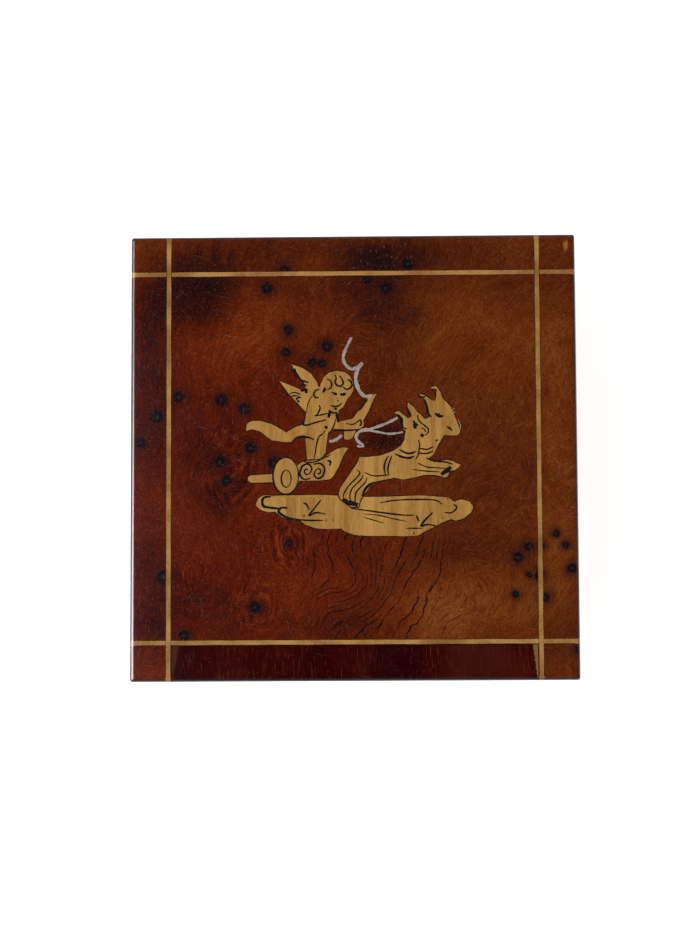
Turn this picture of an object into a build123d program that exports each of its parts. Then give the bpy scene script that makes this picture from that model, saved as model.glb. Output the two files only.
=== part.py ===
"""Square puzzle box in burl veneer, with a hidden keyhole and a hidden key drawer.

The box stands on its base felt at z = 0, centred on the z axis, with its front towards -y.
Light stringing lines divide every face, and each secret seam lies along one of them.
The front panel slides up and uncovers a keyhole. The lowest band of the right side is the
front of a drawer that holds the key. The lid swings up on two butt hinges, and the lock's
bolt is drawn back, so the closed lid is free to open.
"""

import os

from build123d import *

os.makedirs("parts", exist_ok=True)

# ---- Driving dimensions, in millimetres ----

# Outside
box_width = 110.0
box_depth = 110.0
box_height = 58.0
joint_height = 43.5
edge_round = 1.2
corner_round = 0.7

# Veneer and stringing
veneer = 0.8
line_width = 1.3
line_inset = 9.5  # from the side of the box to the middle of a line

# Case
base_felt_thickness = 1.0
base_felt_margin = 5.0
base_thickness = 4.0
base_chamfer = 0.6
back_wall_thickness = 8.0
lock_wall_thickness = 9.0
floor_thickness = 3.0
lining = 0.8
lining_below_rim = 1.2

# Lid
lid_gap = 0.1
lid_panel_thickness = 5.0

# Front panel
slide_gap = 0.15
tongue_reach = 2.0
tongue_height = 3.4
tongue_thickness = 2.8
tongue_setback = 2.8  # from the front of the box to the tongue
guide_key_height = 4.0

# Key drawer
drawer_height = 10.1
drawer_box_depth = 59.4
drawer_travel = 50.0
drawer_wall = 2.8
drawer_bottom_thickness = 2.0
drawer_side_below_floor = 0.4
guide_width = 3.0
stop_width = 3.0
thumb_notch_radius = 8.0
thumb_notch_depth = 5.0

# Hinges
hinge_spread = 28.0  # from the middle of the box to the middle of a hinge
hinge_length = 20.0
leaf_thickness = 0.9
leaf_margin = 0.5  # wood left inside the edge of a leaf
leaf_screw_spread = 6.7  # from the middle of a leaf to its screws
knuckle_radius = 1.5
knuckle_below_back = 1.7  # from the back of the box to the pin's axis
knuckle_gap = 0.1
middle_knuckle = 6.6
hinge_pin_radius = 0.75
pin_clearance = 0.05
back_bevel = 2.4

# Screws
screw_head_radius = 1.5
screw_head_depth = 0.9
screw_shank_radius = 0.75
screw_length = 6.0
screw_slot_width = 0.4
screw_slot_depth = 0.35

# Lock
lock_width = 36.0
lock_height = 20.0
lock_sheet = 0.8
lock_plate = 1.0
lock_plate_width = 46.0
lock_depth = 6.55
lock_screw_inset = 4.0  # from the lower and upper edges of the plate
selvedge_thickness = 1.2
key_axis_below_joint = 13.0
keyhole_radius = 1.9
keyhole_slot_width = 1.8
keyhole_slot_length = 5.4
escutcheon_radius = 4.2
escutcheon_thickness = 0.8
key_pin_radius = 1.05
key_pin_length = 7.2
staple_spread = 9.0
staple_length = 7.0
staple_width = 3.6
staple_thickness = 1.8
staple_window_width = 2.0
staple_window_height = 3.8
staple_foot = 1.6
staple_clearance = 0.3
staple_back_gap = 0.2
staple_swing_room = 0.9  # the staple's foot swings this far forward as the lid lifts it out
strike_width = 32.0
strike_depth = 5.4
strike_screw_margin = 1.0
bolt_thickness = 1.6
bolt_bar_height = 2.6
bolt_notch_radius = 1.95
bolt_travel = 4.0
bolt_nose_height = 2.6
bolt_finger = 2.0
bolt_gap = 0.4
spring_thickness = 0.4
spring_reach = 10.0
spring_crest_share = 0.75  # of the spring's rise, halfway along it

# Key
key_length = 34.0
key_shank_radius = 1.55
key_bore_depth = 8.0
key_bit_height = 3.4
key_bit_length = 4.0
key_bit_thickness = 1.3
key_bit_root = 0.32  # how deep the bit sits in the shank
key_bow_radius = 6.2
key_bow_bar = 2.2
key_bow_thickness = 2.0
key_collar_radius = 2.3
key_collar_length = 1.8
key_rest_room = 6.0  # from the drawer's front to the key's bow

# How far a cutting tool runs past the wood that it cuts
overshoot = 1.0

# ---- Places worked out from them ----

half_width = box_width / 2
half_depth = box_depth / 2
core_x = half_width - veneer
core_y = half_depth - veneer
line_in_x = half_width - line_inset - line_width / 2
line_out_x = line_in_x + line_width
line_in_y = half_depth - line_inset - line_width / 2
line_out_y = line_in_y + line_width

base_top = base_felt_thickness + base_thickness
drawer_low = base_top + slide_gap
drawer_high = drawer_low + drawer_height
slot_high = drawer_high + slide_gap
floor_top = slot_high + floor_thickness
rim = joint_height - lining_below_rim
lid_low = joint_height + lid_gap
lid_core_high = box_height - veneer
lid_cavity_high = lid_core_high - lid_panel_thickness
joint_middle = joint_height + lid_gap / 2

inside_x = line_in_x
panel_back = -line_out_y - slide_gap
lock_wall_front = -line_out_y
lock_wall_back = lock_wall_front + lock_wall_thickness
back_wall_front = core_y - back_wall_thickness
panel_half_width = line_in_x - slide_gap

band_lines = (slot_high, slot_high + line_width)  # the line above the drawer band
joint_lines = (lid_low, lid_low + line_width)  # the line along the lid's lower edge

tongue_front = -half_depth + tongue_setback
tongue_back = tongue_front + tongue_thickness
guide_key_low = joint_height - guide_key_height
panel_low = base_top + slide_gap
tongue_high = panel_low + tongue_height
panel_travel = guide_key_low - tongue_high - slide_gap

hinge_y = half_depth - knuckle_below_back
lock_front = lock_wall_back - lock_depth
lock_cavity_front = lock_front + lock_sheet
lock_cavity_back = lock_wall_back - lock_plate
lock_high = joint_height - selvedge_thickness
lock_low = lock_high - lock_height
key_axis = joint_height - key_axis_below_joint
staple_back = lock_cavity_back - staple_back_gap
staple_front = staple_back - staple_width
staple_middle = (staple_front + staple_back) / 2
staple_low = lid_low - staple_length
window_low = staple_low + staple_foot
window_high = window_low + staple_window_height


def block(x, y, z, mode=Mode.ADD):
    """Adds a box to the part being built. Each of x, y and z is a (low, high) pair."""
    middle = tuple((low + high) / 2 for low, high in (x, y, z))
    with Locations(middle):
        Box(*(high - low for low, high in (x, y, z)), mode=mode)


def blocks(ranges, mode=Mode.ADD):
    """Adds a box for each (x, y, z) of (low, high) pairs."""
    for x, y, z in ranges:
        block(x, y, z, mode)


def rod(radius, start, end, across, axis, mode=Mode.ADD):
    """Adds a round bar along X, Y or Z from start to end.

    Its two other coordinates are in across.
    """
    plane = {"X": Plane.YZ, "Y": Plane.XZ, "Z": Plane.XY}[axis]
    low, high = sorted((start, end))
    offset = -high if axis == "Y" else low
    a, b = across
    with BuildSketch(plane.offset(offset), mode=Mode.PRIVATE) as section:
        with Locations((a, b)):
            Circle(radius)
    add(extrude(section.sketch, amount=high - low, mode=Mode.PRIVATE), mode=mode)


def keep_outer_form():
    """Gives the part being built the box's rounded edges."""
    add(outer_form.part, mode=Mode.INTERSECT)


def cut_hinge_side():
    """Cuts the bevel along the back of the joint and the hollows for the hinge knuckles."""
    add(back_groove.part, mode=Mode.SUBTRACT)


def save(builder, name):
    """Labels a finished piece and writes it under its node's name."""
    builder.part.label = name
    export_step(builder.part, f"parts/{name}.step")


def mirrored(low, high):
    """The same span on both sides of the middle."""
    return [(-high, -low), (low, high)]


# ---- Forms that many pieces share ----

with BuildPart() as outer_form:
    block((-half_width, half_width), (-half_depth, half_depth), (0, box_height))
    fillet(outer_form.edges().filter_by(Axis.Z), corner_round)
    fillet(outer_form.faces().sort_by(Axis.Z)[-1].edges(), edge_round)

with BuildPart() as back_groove:
    reach = back_bevel + overshoot
    with BuildSketch(Plane.YZ.offset(-half_width - overshoot)) as groove_section:
        with BuildLine():
            Polyline(
                (half_depth - back_bevel, joint_middle),
                (half_depth + overshoot, joint_middle + reach),
                (half_depth + overshoot, joint_middle - reach),
                close=True,
            )
        make_face()
    extrude(amount=box_width + 2 * overshoot)
    for side in (-1, 1):
        middle = side * hinge_spread
        half = hinge_length / 2 + knuckle_gap
        rod(knuckle_radius + slide_gap, middle - half, middle + half, (hinge_y, joint_middle), "X")

# The stringing on the four sides, as (x, y, z) spans.
skin_x = mirrored(core_x, half_width)
skin_y = mirrored(core_y, half_depth)


def side_lines(low, high, band):
    """The lines on the left and right faces between two heights, with one level line at band."""
    found = []
    for x in skin_x:
        found += [(x, y, (low, high)) for y in mirrored(line_in_y, line_out_y)]
        found.append((x, (-half_depth, half_depth), band))
    return found


def back_lines(low, high, band=None):
    """The lines on the back face between two heights."""
    found = [(x, skin_y[1], (low, high)) for x in mirrored(line_in_x, line_out_x)]
    if band:
        found.append(((-core_x, core_x), skin_y[1], band))
    return found


def post_lines(low, high, band):
    """The lines on the two narrow front faces beside the front panel."""
    found = []
    for inner, outer in zip(mirrored(line_in_x, line_out_x), mirrored(line_in_x, core_x)):
        found.append((inner, skin_y[0], (low, high)))
        found.append((outer, skin_y[0], band))
    return found


case_lines = side_lines(base_top, joint_height, band_lines)
case_lines += back_lines(base_top, joint_height, band_lines)
case_lines += post_lines(base_top, joint_height, band_lines)
lid_lines = side_lines(lid_low, lid_core_high, joint_lines)
lid_lines += back_lines(lid_low, lid_core_high) + post_lines(lid_low, lid_core_high, joint_lines)
drawer_slot = (
    (line_in_x - overshoot, half_width + overshoot),
    (-line_in_y, line_in_y),
    (base_top, slot_high),
)

# ---- Case: base, walls and floor ----

with BuildPart() as base_felt:
    felt_x, felt_y = half_width - base_felt_margin, half_depth - base_felt_margin
    block((-felt_x, felt_x), (-felt_y, felt_y), (0, base_felt_thickness))
save(base_felt, "base_felt")

with BuildPart() as base_board:
    block((-half_width, half_width), (-half_depth, half_depth), (base_felt_thickness, base_top))
    keep_outer_form()
    chamfer(base_board.faces().sort_by(Axis.Z)[0].edges(), base_chamfer)
    notch_x = half_width + thumb_notch_radius - thumb_notch_depth
    rod(thumb_notch_radius, base_felt_thickness, base_top, (notch_x, 0), "Z", Mode.SUBTRACT)
save(base_board, "base_board")

wall_z = (base_top, joint_height)
groove_y = (tongue_front - slide_gap, tongue_back + slide_gap)
groove_reach = line_in_x + tongue_reach
for side, name in ((-1, "left_wall"), (1, "right_wall")):
    with BuildPart() as wall:
        block(sorted((side * line_in_x, side * core_x)), (-core_y, core_y), wall_z)
        block(sorted((side * line_in_x, side * groove_reach)), groove_y, wall_z, Mode.SUBTRACT)
        if side > 0:
            block(*drawer_slot, Mode.SUBTRACT)
        cut_hinge_side()
    save(wall, name)

screw_y = (hinge_y + back_wall_front) / 2
hinge_screws = [
    side * hinge_spread + end for side in (-1, 1) for end in (-leaf_screw_spread, leaf_screw_spread)
]


def screw(place, direction):
    """Adds a countersunk slotted screw with its head flush at place, pointing along direction."""
    plane = Plane(origin=place, z_dir=direction)
    with BuildSketch(Plane.XZ, mode=Mode.PRIVATE) as half:
        with BuildLine():
            Polyline(
                (0, 0),
                (screw_head_radius, 0),
                (screw_shank_radius, screw_head_depth),
                (screw_shank_radius, screw_length - screw_shank_radius),
                (0, screw_length),
                close=True,
            )
        make_face()
    body = revolve(half.sketch, axis=Axis.Z, mode=Mode.PRIVATE)
    add(plane.location * body)


def cut_slots(places, direction):
    """Cuts the driver slots into the heads of screws at these places."""
    for place in places:
        with Locations(Plane(origin=place, z_dir=direction).location):
            Box(2 * screw_head_radius, screw_slot_width, 2 * screw_slot_depth, mode=Mode.SUBTRACT)


case_screw_places = [(x, screw_y, joint_height) for x in hinge_screws]
lid_screw_places = [(x, screw_y, lid_low) for x in hinge_screws]
plate_screw_x = (lock_width + lock_plate_width) / 4  # halfway between the case and the plate's end
plate_screw_z = (lock_low + lock_screw_inset, lock_high - lock_screw_inset)
lock_screw_places = [(x, lock_wall_back, z) for x in (-plate_screw_x, plate_screw_x) for z in plate_screw_z]
strike_screw_x = strike_width / 2 - screw_head_radius - strike_screw_margin
strike_screw_places = [(x, staple_middle, lid_low) for x in (-strike_screw_x, strike_screw_x)]

with BuildPart() as case_hinge_screw_bodies:
    for place in case_screw_places:
        screw(place, (0, 0, -1))
with BuildPart() as lid_hinge_screw_bodies:
    for place in lid_screw_places:
        screw(place, (0, 0, 1))
with BuildPart() as lock_screw_bodies:
    for place in lock_screw_places:
        screw(place, (0, -1, 0))
with BuildPart() as strike_screw_bodies:
    for place in strike_screw_places:
        screw(place, (0, 0, 1))


def finish_screws(bodies, places, direction, name):
    """Slots a group of screws and writes them."""
    with BuildPart() as screws:
        add(bodies.part)
        cut_slots(places, direction)
    save(screws, name)


finish_screws(case_hinge_screw_bodies, case_screw_places, (0, 0, -1), "case_hinge_screws")
finish_screws(lid_hinge_screw_bodies, lid_screw_places, (0, 0, 1), "lid_hinge_screws")
finish_screws(lock_screw_bodies, lock_screw_places, (0, -1, 0), "lock_screws")
finish_screws(strike_screw_bodies, strike_screw_places, (0, 0, 1), "strike_screws")

leaf_y = (back_wall_front + leaf_margin, half_depth)


def hinge_beds(low, high):
    """The two shallow beds that the hinge leaves lie in, as (x, y, z) spans."""
    half = hinge_length / 2
    middles = (-hinge_spread, hinge_spread)
    return [((middle - half, middle + half), leaf_y, (low, high)) for middle in middles]


with BuildPart() as back_wall:
    block((-inside_x, inside_x), (back_wall_front, core_y), wall_z)
    cut_hinge_side()
    blocks(hinge_beds(joint_height - leaf_thickness, joint_height), Mode.SUBTRACT)
    add(case_hinge_screw_bodies.part, mode=Mode.SUBTRACT)
save(back_wall, "back_wall")

lock_case_x = (-lock_width / 2, lock_width / 2)
lock_plate_x = (-lock_plate_width / 2, lock_plate_width / 2)


def keyhole(front, back):
    """Cuts the keyhole along y, a round hole with a slot below it, out of the part being built."""
    rod(keyhole_radius, front, back, (0, key_axis), "Y", Mode.SUBTRACT)
    half = keyhole_slot_width / 2
    block((-half, half), (front, back), (key_axis - keyhole_slot_length, key_axis), Mode.SUBTRACT)


with BuildPart() as lock_wall:
    block((-inside_x, inside_x), (lock_wall_front, lock_wall_back), wall_z)
    block(lock_case_x, (lock_front, lock_wall_back), (lock_low, joint_height), Mode.SUBTRACT)
    block(lock_plate_x, (lock_cavity_back, lock_wall_back), (lock_low, joint_height), Mode.SUBTRACT)
    block(lock_plate_x, (lock_front, lock_wall_back), (lock_high, joint_height), Mode.SUBTRACT)
    rod(
        escutcheon_radius,
        lock_wall_front,
        lock_wall_front + escutcheon_thickness,
        (0, key_axis),
        "Y",
        Mode.SUBTRACT,
    )
    keyhole(lock_wall_front, lock_front)
    add(lock_screw_bodies.part, mode=Mode.SUBTRACT)
save(lock_wall, "lock_wall")

with BuildPart() as inner_floor:
    block((-inside_x, inside_x), (lock_wall_back, back_wall_front), (slot_high, floor_top))
save(inner_floor, "inner_floor")

guide_out = -lock_wall_back - slide_gap
guide_in = guide_out - guide_width
drawer_half = guide_in - slide_gap
drawer_front_x = line_in_x + slide_gap
drawer_end = drawer_front_x - drawer_box_depth
with BuildPart() as drawer_runners:
    stop_x = drawer_end - slide_gap
    for y in mirrored(guide_in, guide_out):
        block((stop_x, inside_x), y, (base_top, slot_high))
    block((stop_x - stop_width, stop_x), (-guide_out, guide_out), (base_top, slot_high))
save(drawer_runners, "drawer_runners")

with BuildPart() as panel_guide_keys:
    key_y = (tongue_front, tongue_back)
    for x in mirrored(panel_half_width - tongue_reach + slide_gap, groove_reach):
        block(x, key_y, (guide_key_low, joint_height))
save(panel_guide_keys, "panel_guide_keys")

# ---- Case: veneer, stringing and lining ----

with BuildPart() as case_stringing:
    blocks(case_lines)
    block(*drawer_slot, Mode.SUBTRACT)
    cut_hinge_side()
    keep_outer_form()
save(case_stringing, "case_stringing")

face_z = (base_top, joint_height)
case_faces = {
    "case_veneer_left": (skin_x[0], (-half_depth, half_depth), face_z),
    "case_veneer_right": (skin_x[1], (-half_depth, half_depth), face_z),
    "case_veneer_back": ((-core_x, core_x), skin_y[1], face_z),
}
for name, face in case_faces.items():
    with BuildPart() as face_veneer:
        block(*face)
        blocks(case_lines, Mode.SUBTRACT)
        block(*drawer_slot, Mode.SUBTRACT)
        cut_hinge_side()
        keep_outer_form()
    save(face_veneer, name)

with BuildPart() as post_veneers:
    for x in mirrored(line_in_x, core_x):
        block(x, skin_y[0], face_z)
    blocks(case_lines, Mode.SUBTRACT)
    keep_outer_form()
save(post_veneers, "post_veneers")

with BuildPart() as floor_lining:
    block((-inside_x, inside_x), (lock_wall_back, back_wall_front), (floor_top, floor_top + lining))
save(floor_lining, "floor_lining")

lining_z = (floor_top + lining, rim)
with BuildPart() as wall_lining:
    for x in mirrored(inside_x - lining, inside_x):
        block(x, (lock_wall_back, back_wall_front), lining_z)
    for y in ((lock_wall_back, lock_wall_back + lining), (back_wall_front - lining, back_wall_front)):
        block((-inside_x + lining, inside_x - lining), y, lining_z)
    window_x = lock_plate_width / 2 + lining
    block(
        (-window_x, window_x),
        (lock_wall_back, lock_wall_back + lining),
        (lock_low - lining, rim),
        Mode.SUBTRACT,
    )
save(wall_lining, "wall_lining")

# ---- Lid: rails, panel and lining ----

rail_z = (lid_low, lid_core_high)
for side, name in ((-1, "lid_left_rail"), (1, "lid_right_rail")):
    with BuildPart() as rail:
        block(sorted((side * line_in_x, side * core_x)), (-core_y, core_y), rail_z)
        cut_hinge_side()
    save(rail, name)

with BuildPart() as lid_back_rail:
    block((-inside_x, inside_x), (back_wall_front, core_y), rail_z)
    cut_hinge_side()
    blocks(hinge_beds(lid_low, lid_low + leaf_thickness), Mode.SUBTRACT)
    add(lid_hinge_screw_bodies.part, mode=Mode.SUBTRACT)
save(lid_back_rail, "lid_back_rail")

strike_x = (-strike_width / 2, strike_width / 2)
strike_y = (staple_middle - strike_depth / 2, staple_middle + strike_depth / 2)
strike_z = (lid_low, lid_low + lock_plate)
with BuildPart() as lid_front_rail:
    block((-inside_x, inside_x), (lock_wall_front, lock_wall_back), (lid_low, lid_cavity_high))
    block(strike_x, strike_y, strike_z, Mode.SUBTRACT)
    add(strike_screw_bodies.part, mode=Mode.SUBTRACT)
save(lid_front_rail, "lid_front_rail")

with BuildPart() as lid_panel:
    block((-inside_x, inside_x), (lock_wall_front, back_wall_front), (lid_cavity_high, lid_core_high))
save(lid_panel, "lid_panel")

with BuildPart() as lid_lining:
    block(
        (-inside_x, inside_x),
        (lock_wall_back, back_wall_front),
        (lid_cavity_high - lining, lid_cavity_high),
    )
save(lid_lining, "lid_lining")

# ---- Lid: the marquetry picture ----
# Points are measured from the middle of the lid. Each outline is a chain of runs, and each run
# goes on from the last point of the one before: a single point is reached by a straight edge,
# more points by a smooth curve.

ground_outline = [
    [(-24.2, -12.0), (-23.6, -10.3), (-20.2, -9.5)],
    [(-13.2, -9.3), (-4.1, -9.5), (3.1, -9.9), (9.5, -9.8), (19.0, -9.8), (23.4, -10.3)],
    [(24.7, -11.3)],
    [(27.7, -11.0), (29.3, -12.6), (28.1, -14.6), (23.9, -15.7)],
    [(20.1, -17.3), (15.8, -19.6)],
    [(11.4, -19.8), (5.8, -19.7), (-0.3, -19.3), (-3.3, -17.8)],
    [(-7.1, -17.9), (-9.9, -17.6), (-13.2, -15.8)],
    [(-15.8, -15.6), (-18.1, -14.7)],
    [(-19.4, -13.6)],
    [(-22.2, -13.4), (-24.2, -12.0)],
]
chariot_outline = [
    [(-13.6, -1.8), (-11.6, -0.9), (-7.8, -0.5), (-5.3, 1.3), (-1.2, 2.1)],
    [(-2.7, -0.5), (-4.0, -3.4), (-5.6, -5.7)],
    [(-9.0, -6.0), (-13.9, -5.9)],
    [(-13.9, -2.1)],
    [(-13.6, -1.8)],
]
axle_outline = [
    [(-26.1, -5.0)],
    [(-25.4, -4.4)],
    [(-18.7, -4.0)],
    [(-18.7, -6.4)],
    [(-25.2, -6.5)],
    [(-26.1, -5.8)],
    [(-26.1, -5.0)],
]
wheel_middle = (-16.7, -4.7)
wheel_radii = (3.4, 4.7)
head_outline = [
    [
        (-7.8, 18.6),
        (-6.5, 20.5),
        (-4.0, 21.3),
        (-1.3, 20.4),
        (0.1, 18.0),
        (-0.3, 15.5),
        (-1.6, 13.9),
        (-2.4, 12.2),
        (-3.8, 11.4),
        (-5.6, 11.6),
        (-7.3, 12.9),
        (-8.4, 15.5),
        (-7.8, 18.6),
    ],
]
body_outline = [
    [(-8.3, 17.0), (-10.3, 14.8), (-11.6, 12.3), (-11.8, 10.1)],
    [(-12.2, 8.1)],
    [(-14.1, 7.5), (-16.6, 6.0)],
    [(-18.3, 7.2), (-20.2, 8.2), (-22.4, 8.9), (-25.2, 8.9), (-26.4, 8.0)],
    [(-26.6, 6.3)],
    [(-24.4, 6.6), (-22.2, 5.6), (-20.5, 4.3), (-18.3, 3.7), (-15.2, 3.5)],
    [(-14.1, 4.7), (-11.9, 5.2)],
    [(-11.8, 2.2), (-11.4, -1.1)],
    [(-8.4, -0.7), (-6.9, 0.8)],
    [(-6.6, 3.2), (-6.1, 5.9)],
    [(-4.7, 6.9)],
    [(-4.0, 8.9)],
    [(-3.3, 12.1)],
    [(-8.3, 17.0)],
]
arm_outline = [
    [(-4.6, 8.9)],
    [(-2.1, 9.0), (-0.1, 9.5)],
    [(1.4, 11.5), (3.7, 15.0)],
    [(5.8, 15.6)],
    [(5.0, 13.6), (3.6, 10.7), (2.5, 8.8)],
    [(2.5, 7.5), (1.1, 6.6)],
    [(0.3, 5.5), (-0.4, 4.4), (-1.6, 4.0), (-2.5, 4.4)],
    [(-2.3, 6.6)],
    [(-5.3, 6.8)],
    [(-4.6, 8.9)],
]
near_wing_outline = [
    [(-15.4, 23.1)],
    [(-12.8, 22.1), (-10.3, 20.5), (-8.9, 18.5), (-8.1, 16.4)],
    [(-11.6, 11.3)],
    [(-11.5, 16.4), (-12.8, 18.9), (-14.4, 21.0), (-15.4, 23.1)],
]
far_wing_outline = [
    [(-18.3, 18.9)],
    [(-16.3, 18.1), (-13.8, 17.0), (-10.6, 15.9)],
    [(-10.6, 10.1)],
    [(-13.1, 12.3), (-15.3, 14.8), (-16.9, 16.7), (-18.3, 18.9)],
]
near_goat_outline = [
    [(1.4, 0.0), (4.0, 0.0), (6.9, 0.4), (9.5, 1.3), (11.6, 2.8), (12.5, 4.7)],
    [(12.8, 6.2)],
    [(12.0, 7.6), (12.1, 9.0), (11.6, 9.7)],
    [(10.0, 10.6)],
    [(11.1, 11.2), (12.5, 10.2), (13.6, 9.4)],
    [(14.2, 9.7)],
    [(13.6, 10.9), (13.2, 12.3), (13.4, 13.5)],
    [(14.7, 12.3), (16.0, 10.7)],
    [(17.3, 9.5), (18.2, 7.6), (18.6, 6.2)],
    [(17.8, 5.4), (16.8, 4.7)],
    [(16.5, 3.3), (16.4, 1.7), (18.0, -0.7)],
    [(19.9, -1.4), (20.6, -2.4), (23.2, -3.5)],
    [(23.4, -4.7), (22.4, -5.5)],
    [(19.9, -4.9), (17.1, -4.9), (13.3, -5.7), (10.0, -5.4)],
    [(6.9, -6.1), (4.4, -6.5)],
    [(3.8, -7.8), (2.4, -9.7), (1.6, -11.2)],
    [(1.2, -12.6)],
    [(-0.7, -12.6)],
    [(-2.7, -11.1)],
    [(-3.8, -9.6), (-2.7, -6.7), (-0.5, -3.5), (1.4, 0.0)],
]
far_goat_outline = [
    [(15.2, 10.9), (16.9, 9.3), (18.8, 9.8)],
    [(18.4, 11.4), (17.9, 13.4), (17.1, 14.4)],
    [(15.8, 15.2)],
    [(17.8, 15.0), (19.0, 14.1), (19.9, 13.6)],
    [(20.3, 14.9), (20.0, 15.8)],
    [(18.8, 16.7)],
    [(20.3, 17.3), (21.5, 15.9), (22.4, 13.8)],
    [(24.0, 12.1), (24.9, 10.1), (25.6, 8.2), (26.2, 6.6)],
    [(25.9, 5.2), (24.4, 4.9), (22.4, 5.0)],
    [(21.7, 4.0), (20.6, 1.9), (19.5, 0.1)],
    [(18.5, -0.7)],
    [(20.6, -1.1), (23.0, -0.9), (24.9, -1.6)],
    [(26.3, -2.1)],
    [(25.5, -3.2), (23.4, -3.8)],
    [(18.0, -3.1)],
    [(14.9, 0.0)],
    [(15.2, 10.9)],
]


def patch(outline):
    """Adds a flat shape with this chain of runs as its edge to the sketch being built."""
    with BuildLine(mode=Mode.PRIVATE) as edge:
        place = outline[0][0]
        for run in outline:
            points = run if run[0] == place else [place, *run]
            if len(points) == 2:
                Line(*points)
            elif len(points) > 2:
                Spline(*points)
            place = points[-1]
    add(make_face(edge.line.edges(), mode=Mode.PRIVATE))


def patches(*outlines):
    """Adds the flat shapes with these outlines to the sketch being built."""
    for outline in outlines:
        patch(outline)


with BuildSketch(Plane.XY.offset(lid_core_high)) as chariot_shape:
    patches(chariot_outline, axle_outline)
    with Locations(wheel_middle):
        Ellipse(*wheel_radii)
with BuildSketch(Plane.XY.offset(lid_core_high)) as putto_shape:
    patches(body_outline, head_outline, arm_outline, near_wing_outline, far_wing_outline)
    add(chariot_shape.sketch, mode=Mode.SUBTRACT)
with BuildSketch(Plane.XY.offset(lid_core_high)) as goat_shape:
    patches(near_goat_outline, far_goat_outline)
with BuildSketch(Plane.XY.offset(lid_core_high)) as ground_shape:
    patch(ground_outline)
    for shape in (chariot_shape, goat_shape):
        add(shape.sketch, mode=Mode.SUBTRACT)

picture = {
    "inlay_chariot": chariot_shape,
    "inlay_putto": putto_shape,
    "inlay_goats": goat_shape,
    "inlay_ground": ground_shape,
}
inlays = {}
for name, shape in picture.items():
    with BuildPart() as inlay:
        extrude(shape.sketch, amount=veneer)
    save(inlay, name)
    inlays[name] = inlay

# ---- Lid: veneer and stringing ----

skin_z = (lid_core_high, box_height)
with BuildPart() as lid_field_veneer:
    block((-line_in_x, line_in_x), (-line_in_y, line_in_y), skin_z)
    for inlay in inlays.values():
        add(inlay.part, mode=Mode.SUBTRACT)
save(lid_field_veneer, "lid_field_veneer")

with BuildPart() as lid_border_veneers:
    for x in mirrored(line_out_x, half_width):
        block(x, (-line_in_y, line_in_y), skin_z)
    block((-line_in_x, line_in_x), (line_out_y, half_depth), skin_z)
    keep_outer_form()
save(lid_border_veneers, "lid_border_veneers")

with BuildPart() as lid_corner_veneers:
    for x in mirrored(line_out_x, half_width):
        for y in mirrored(line_out_y, half_depth):
            block(x, y, skin_z)
    keep_outer_form()
save(lid_corner_veneers, "lid_corner_veneers")

with BuildPart() as lid_top_stringing:
    for x in mirrored(line_in_x, line_out_x):
        block(x, (-half_depth, half_depth), skin_z)
    for y in mirrored(line_in_y, line_out_y):
        for x in (*mirrored(line_out_x, half_width), (-line_in_x, line_in_x)):
            block(x, y, skin_z)
    keep_outer_form()
save(lid_top_stringing, "lid_top_stringing")

with BuildPart() as lid_side_stringing:
    blocks(lid_lines)
    cut_hinge_side()
    keep_outer_form()
save(lid_side_stringing, "lid_side_stringing")

with BuildPart() as lid_side_veneers:
    for x in skin_x:
        block(x, (-half_depth, half_depth), rail_z)
    block((-core_x, core_x), skin_y[1], rail_z)
    for x in mirrored(line_in_x, core_x):
        block(x, skin_y[0], rail_z)
    blocks(lid_lines, Mode.SUBTRACT)
    cut_hinge_side()
    keep_outer_form()
save(lid_side_veneers, "lid_side_veneers")

# ---- Front panel ----

panel_x = (-panel_half_width, panel_half_width)
panel_z = (panel_low, lid_core_high)
panel_lines = [(panel_x, skin_y[0], span) for span in (band_lines, joint_lines)]
with BuildPart() as front_board:
    block(panel_x, (-core_y, panel_back), panel_z)
    for x in mirrored(panel_half_width - tongue_reach, panel_half_width):
        block(x, groove_y, (tongue_high, joint_height + slide_gap), Mode.SUBTRACT)
    for x in mirrored(panel_half_width, panel_half_width + tongue_reach):
        block(x, (tongue_front, tongue_back), (panel_low, tongue_high))
save(front_board, "front_board")

with BuildPart() as front_veneer:
    block(panel_x, skin_y[0], panel_z)
    blocks(panel_lines, Mode.SUBTRACT)
    keep_outer_form()
save(front_veneer, "front_veneer")

with BuildPart() as front_stringing:
    blocks(panel_lines)
save(front_stringing, "front_stringing")

with BuildPart() as front_cap:
    block(panel_x, (-half_depth, panel_back), skin_z)
    keep_outer_form()
save(front_cap, "front_cap")

# ---- Key drawer ----

drawer_z = (drawer_low, drawer_high)
drawer_front_y = (-line_in_y + slide_gap, line_in_y - slide_gap)
with BuildPart() as drawer_front:
    block((drawer_front_x, core_x), drawer_front_y, drawer_z)
save(drawer_front, "drawer_front")

with BuildPart() as drawer_veneer:
    block(skin_x[1], drawer_front_y, drawer_z)
save(drawer_veneer, "drawer_veneer")

drawer_floor_top = drawer_low + drawer_bottom_thickness
drawer_rim = drawer_high - drawer_side_below_floor
with BuildPart() as drawer_bottom:
    block((drawer_end, drawer_front_x), (-drawer_half, drawer_half), (drawer_low, drawer_floor_top))
save(drawer_bottom, "drawer_bottom")

with BuildPart() as drawer_sides:
    for y in mirrored(drawer_half - drawer_wall, drawer_half):
        block((drawer_end, drawer_front_x), y, (drawer_floor_top, drawer_rim))
save(drawer_sides, "drawer_sides")

with BuildPart() as drawer_back:
    inner = drawer_half - drawer_wall
    block((drawer_end, drawer_end + drawer_wall), (-inner, inner), (drawer_floor_top, drawer_rim))
save(drawer_back, "drawer_back")

with BuildPart() as drawer_lining:
    block(
        (drawer_end + drawer_wall, drawer_front_x),
        (-inner, inner),
        (drawer_floor_top, drawer_floor_top + lining),
    )
save(drawer_lining, "drawer_lining")

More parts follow.
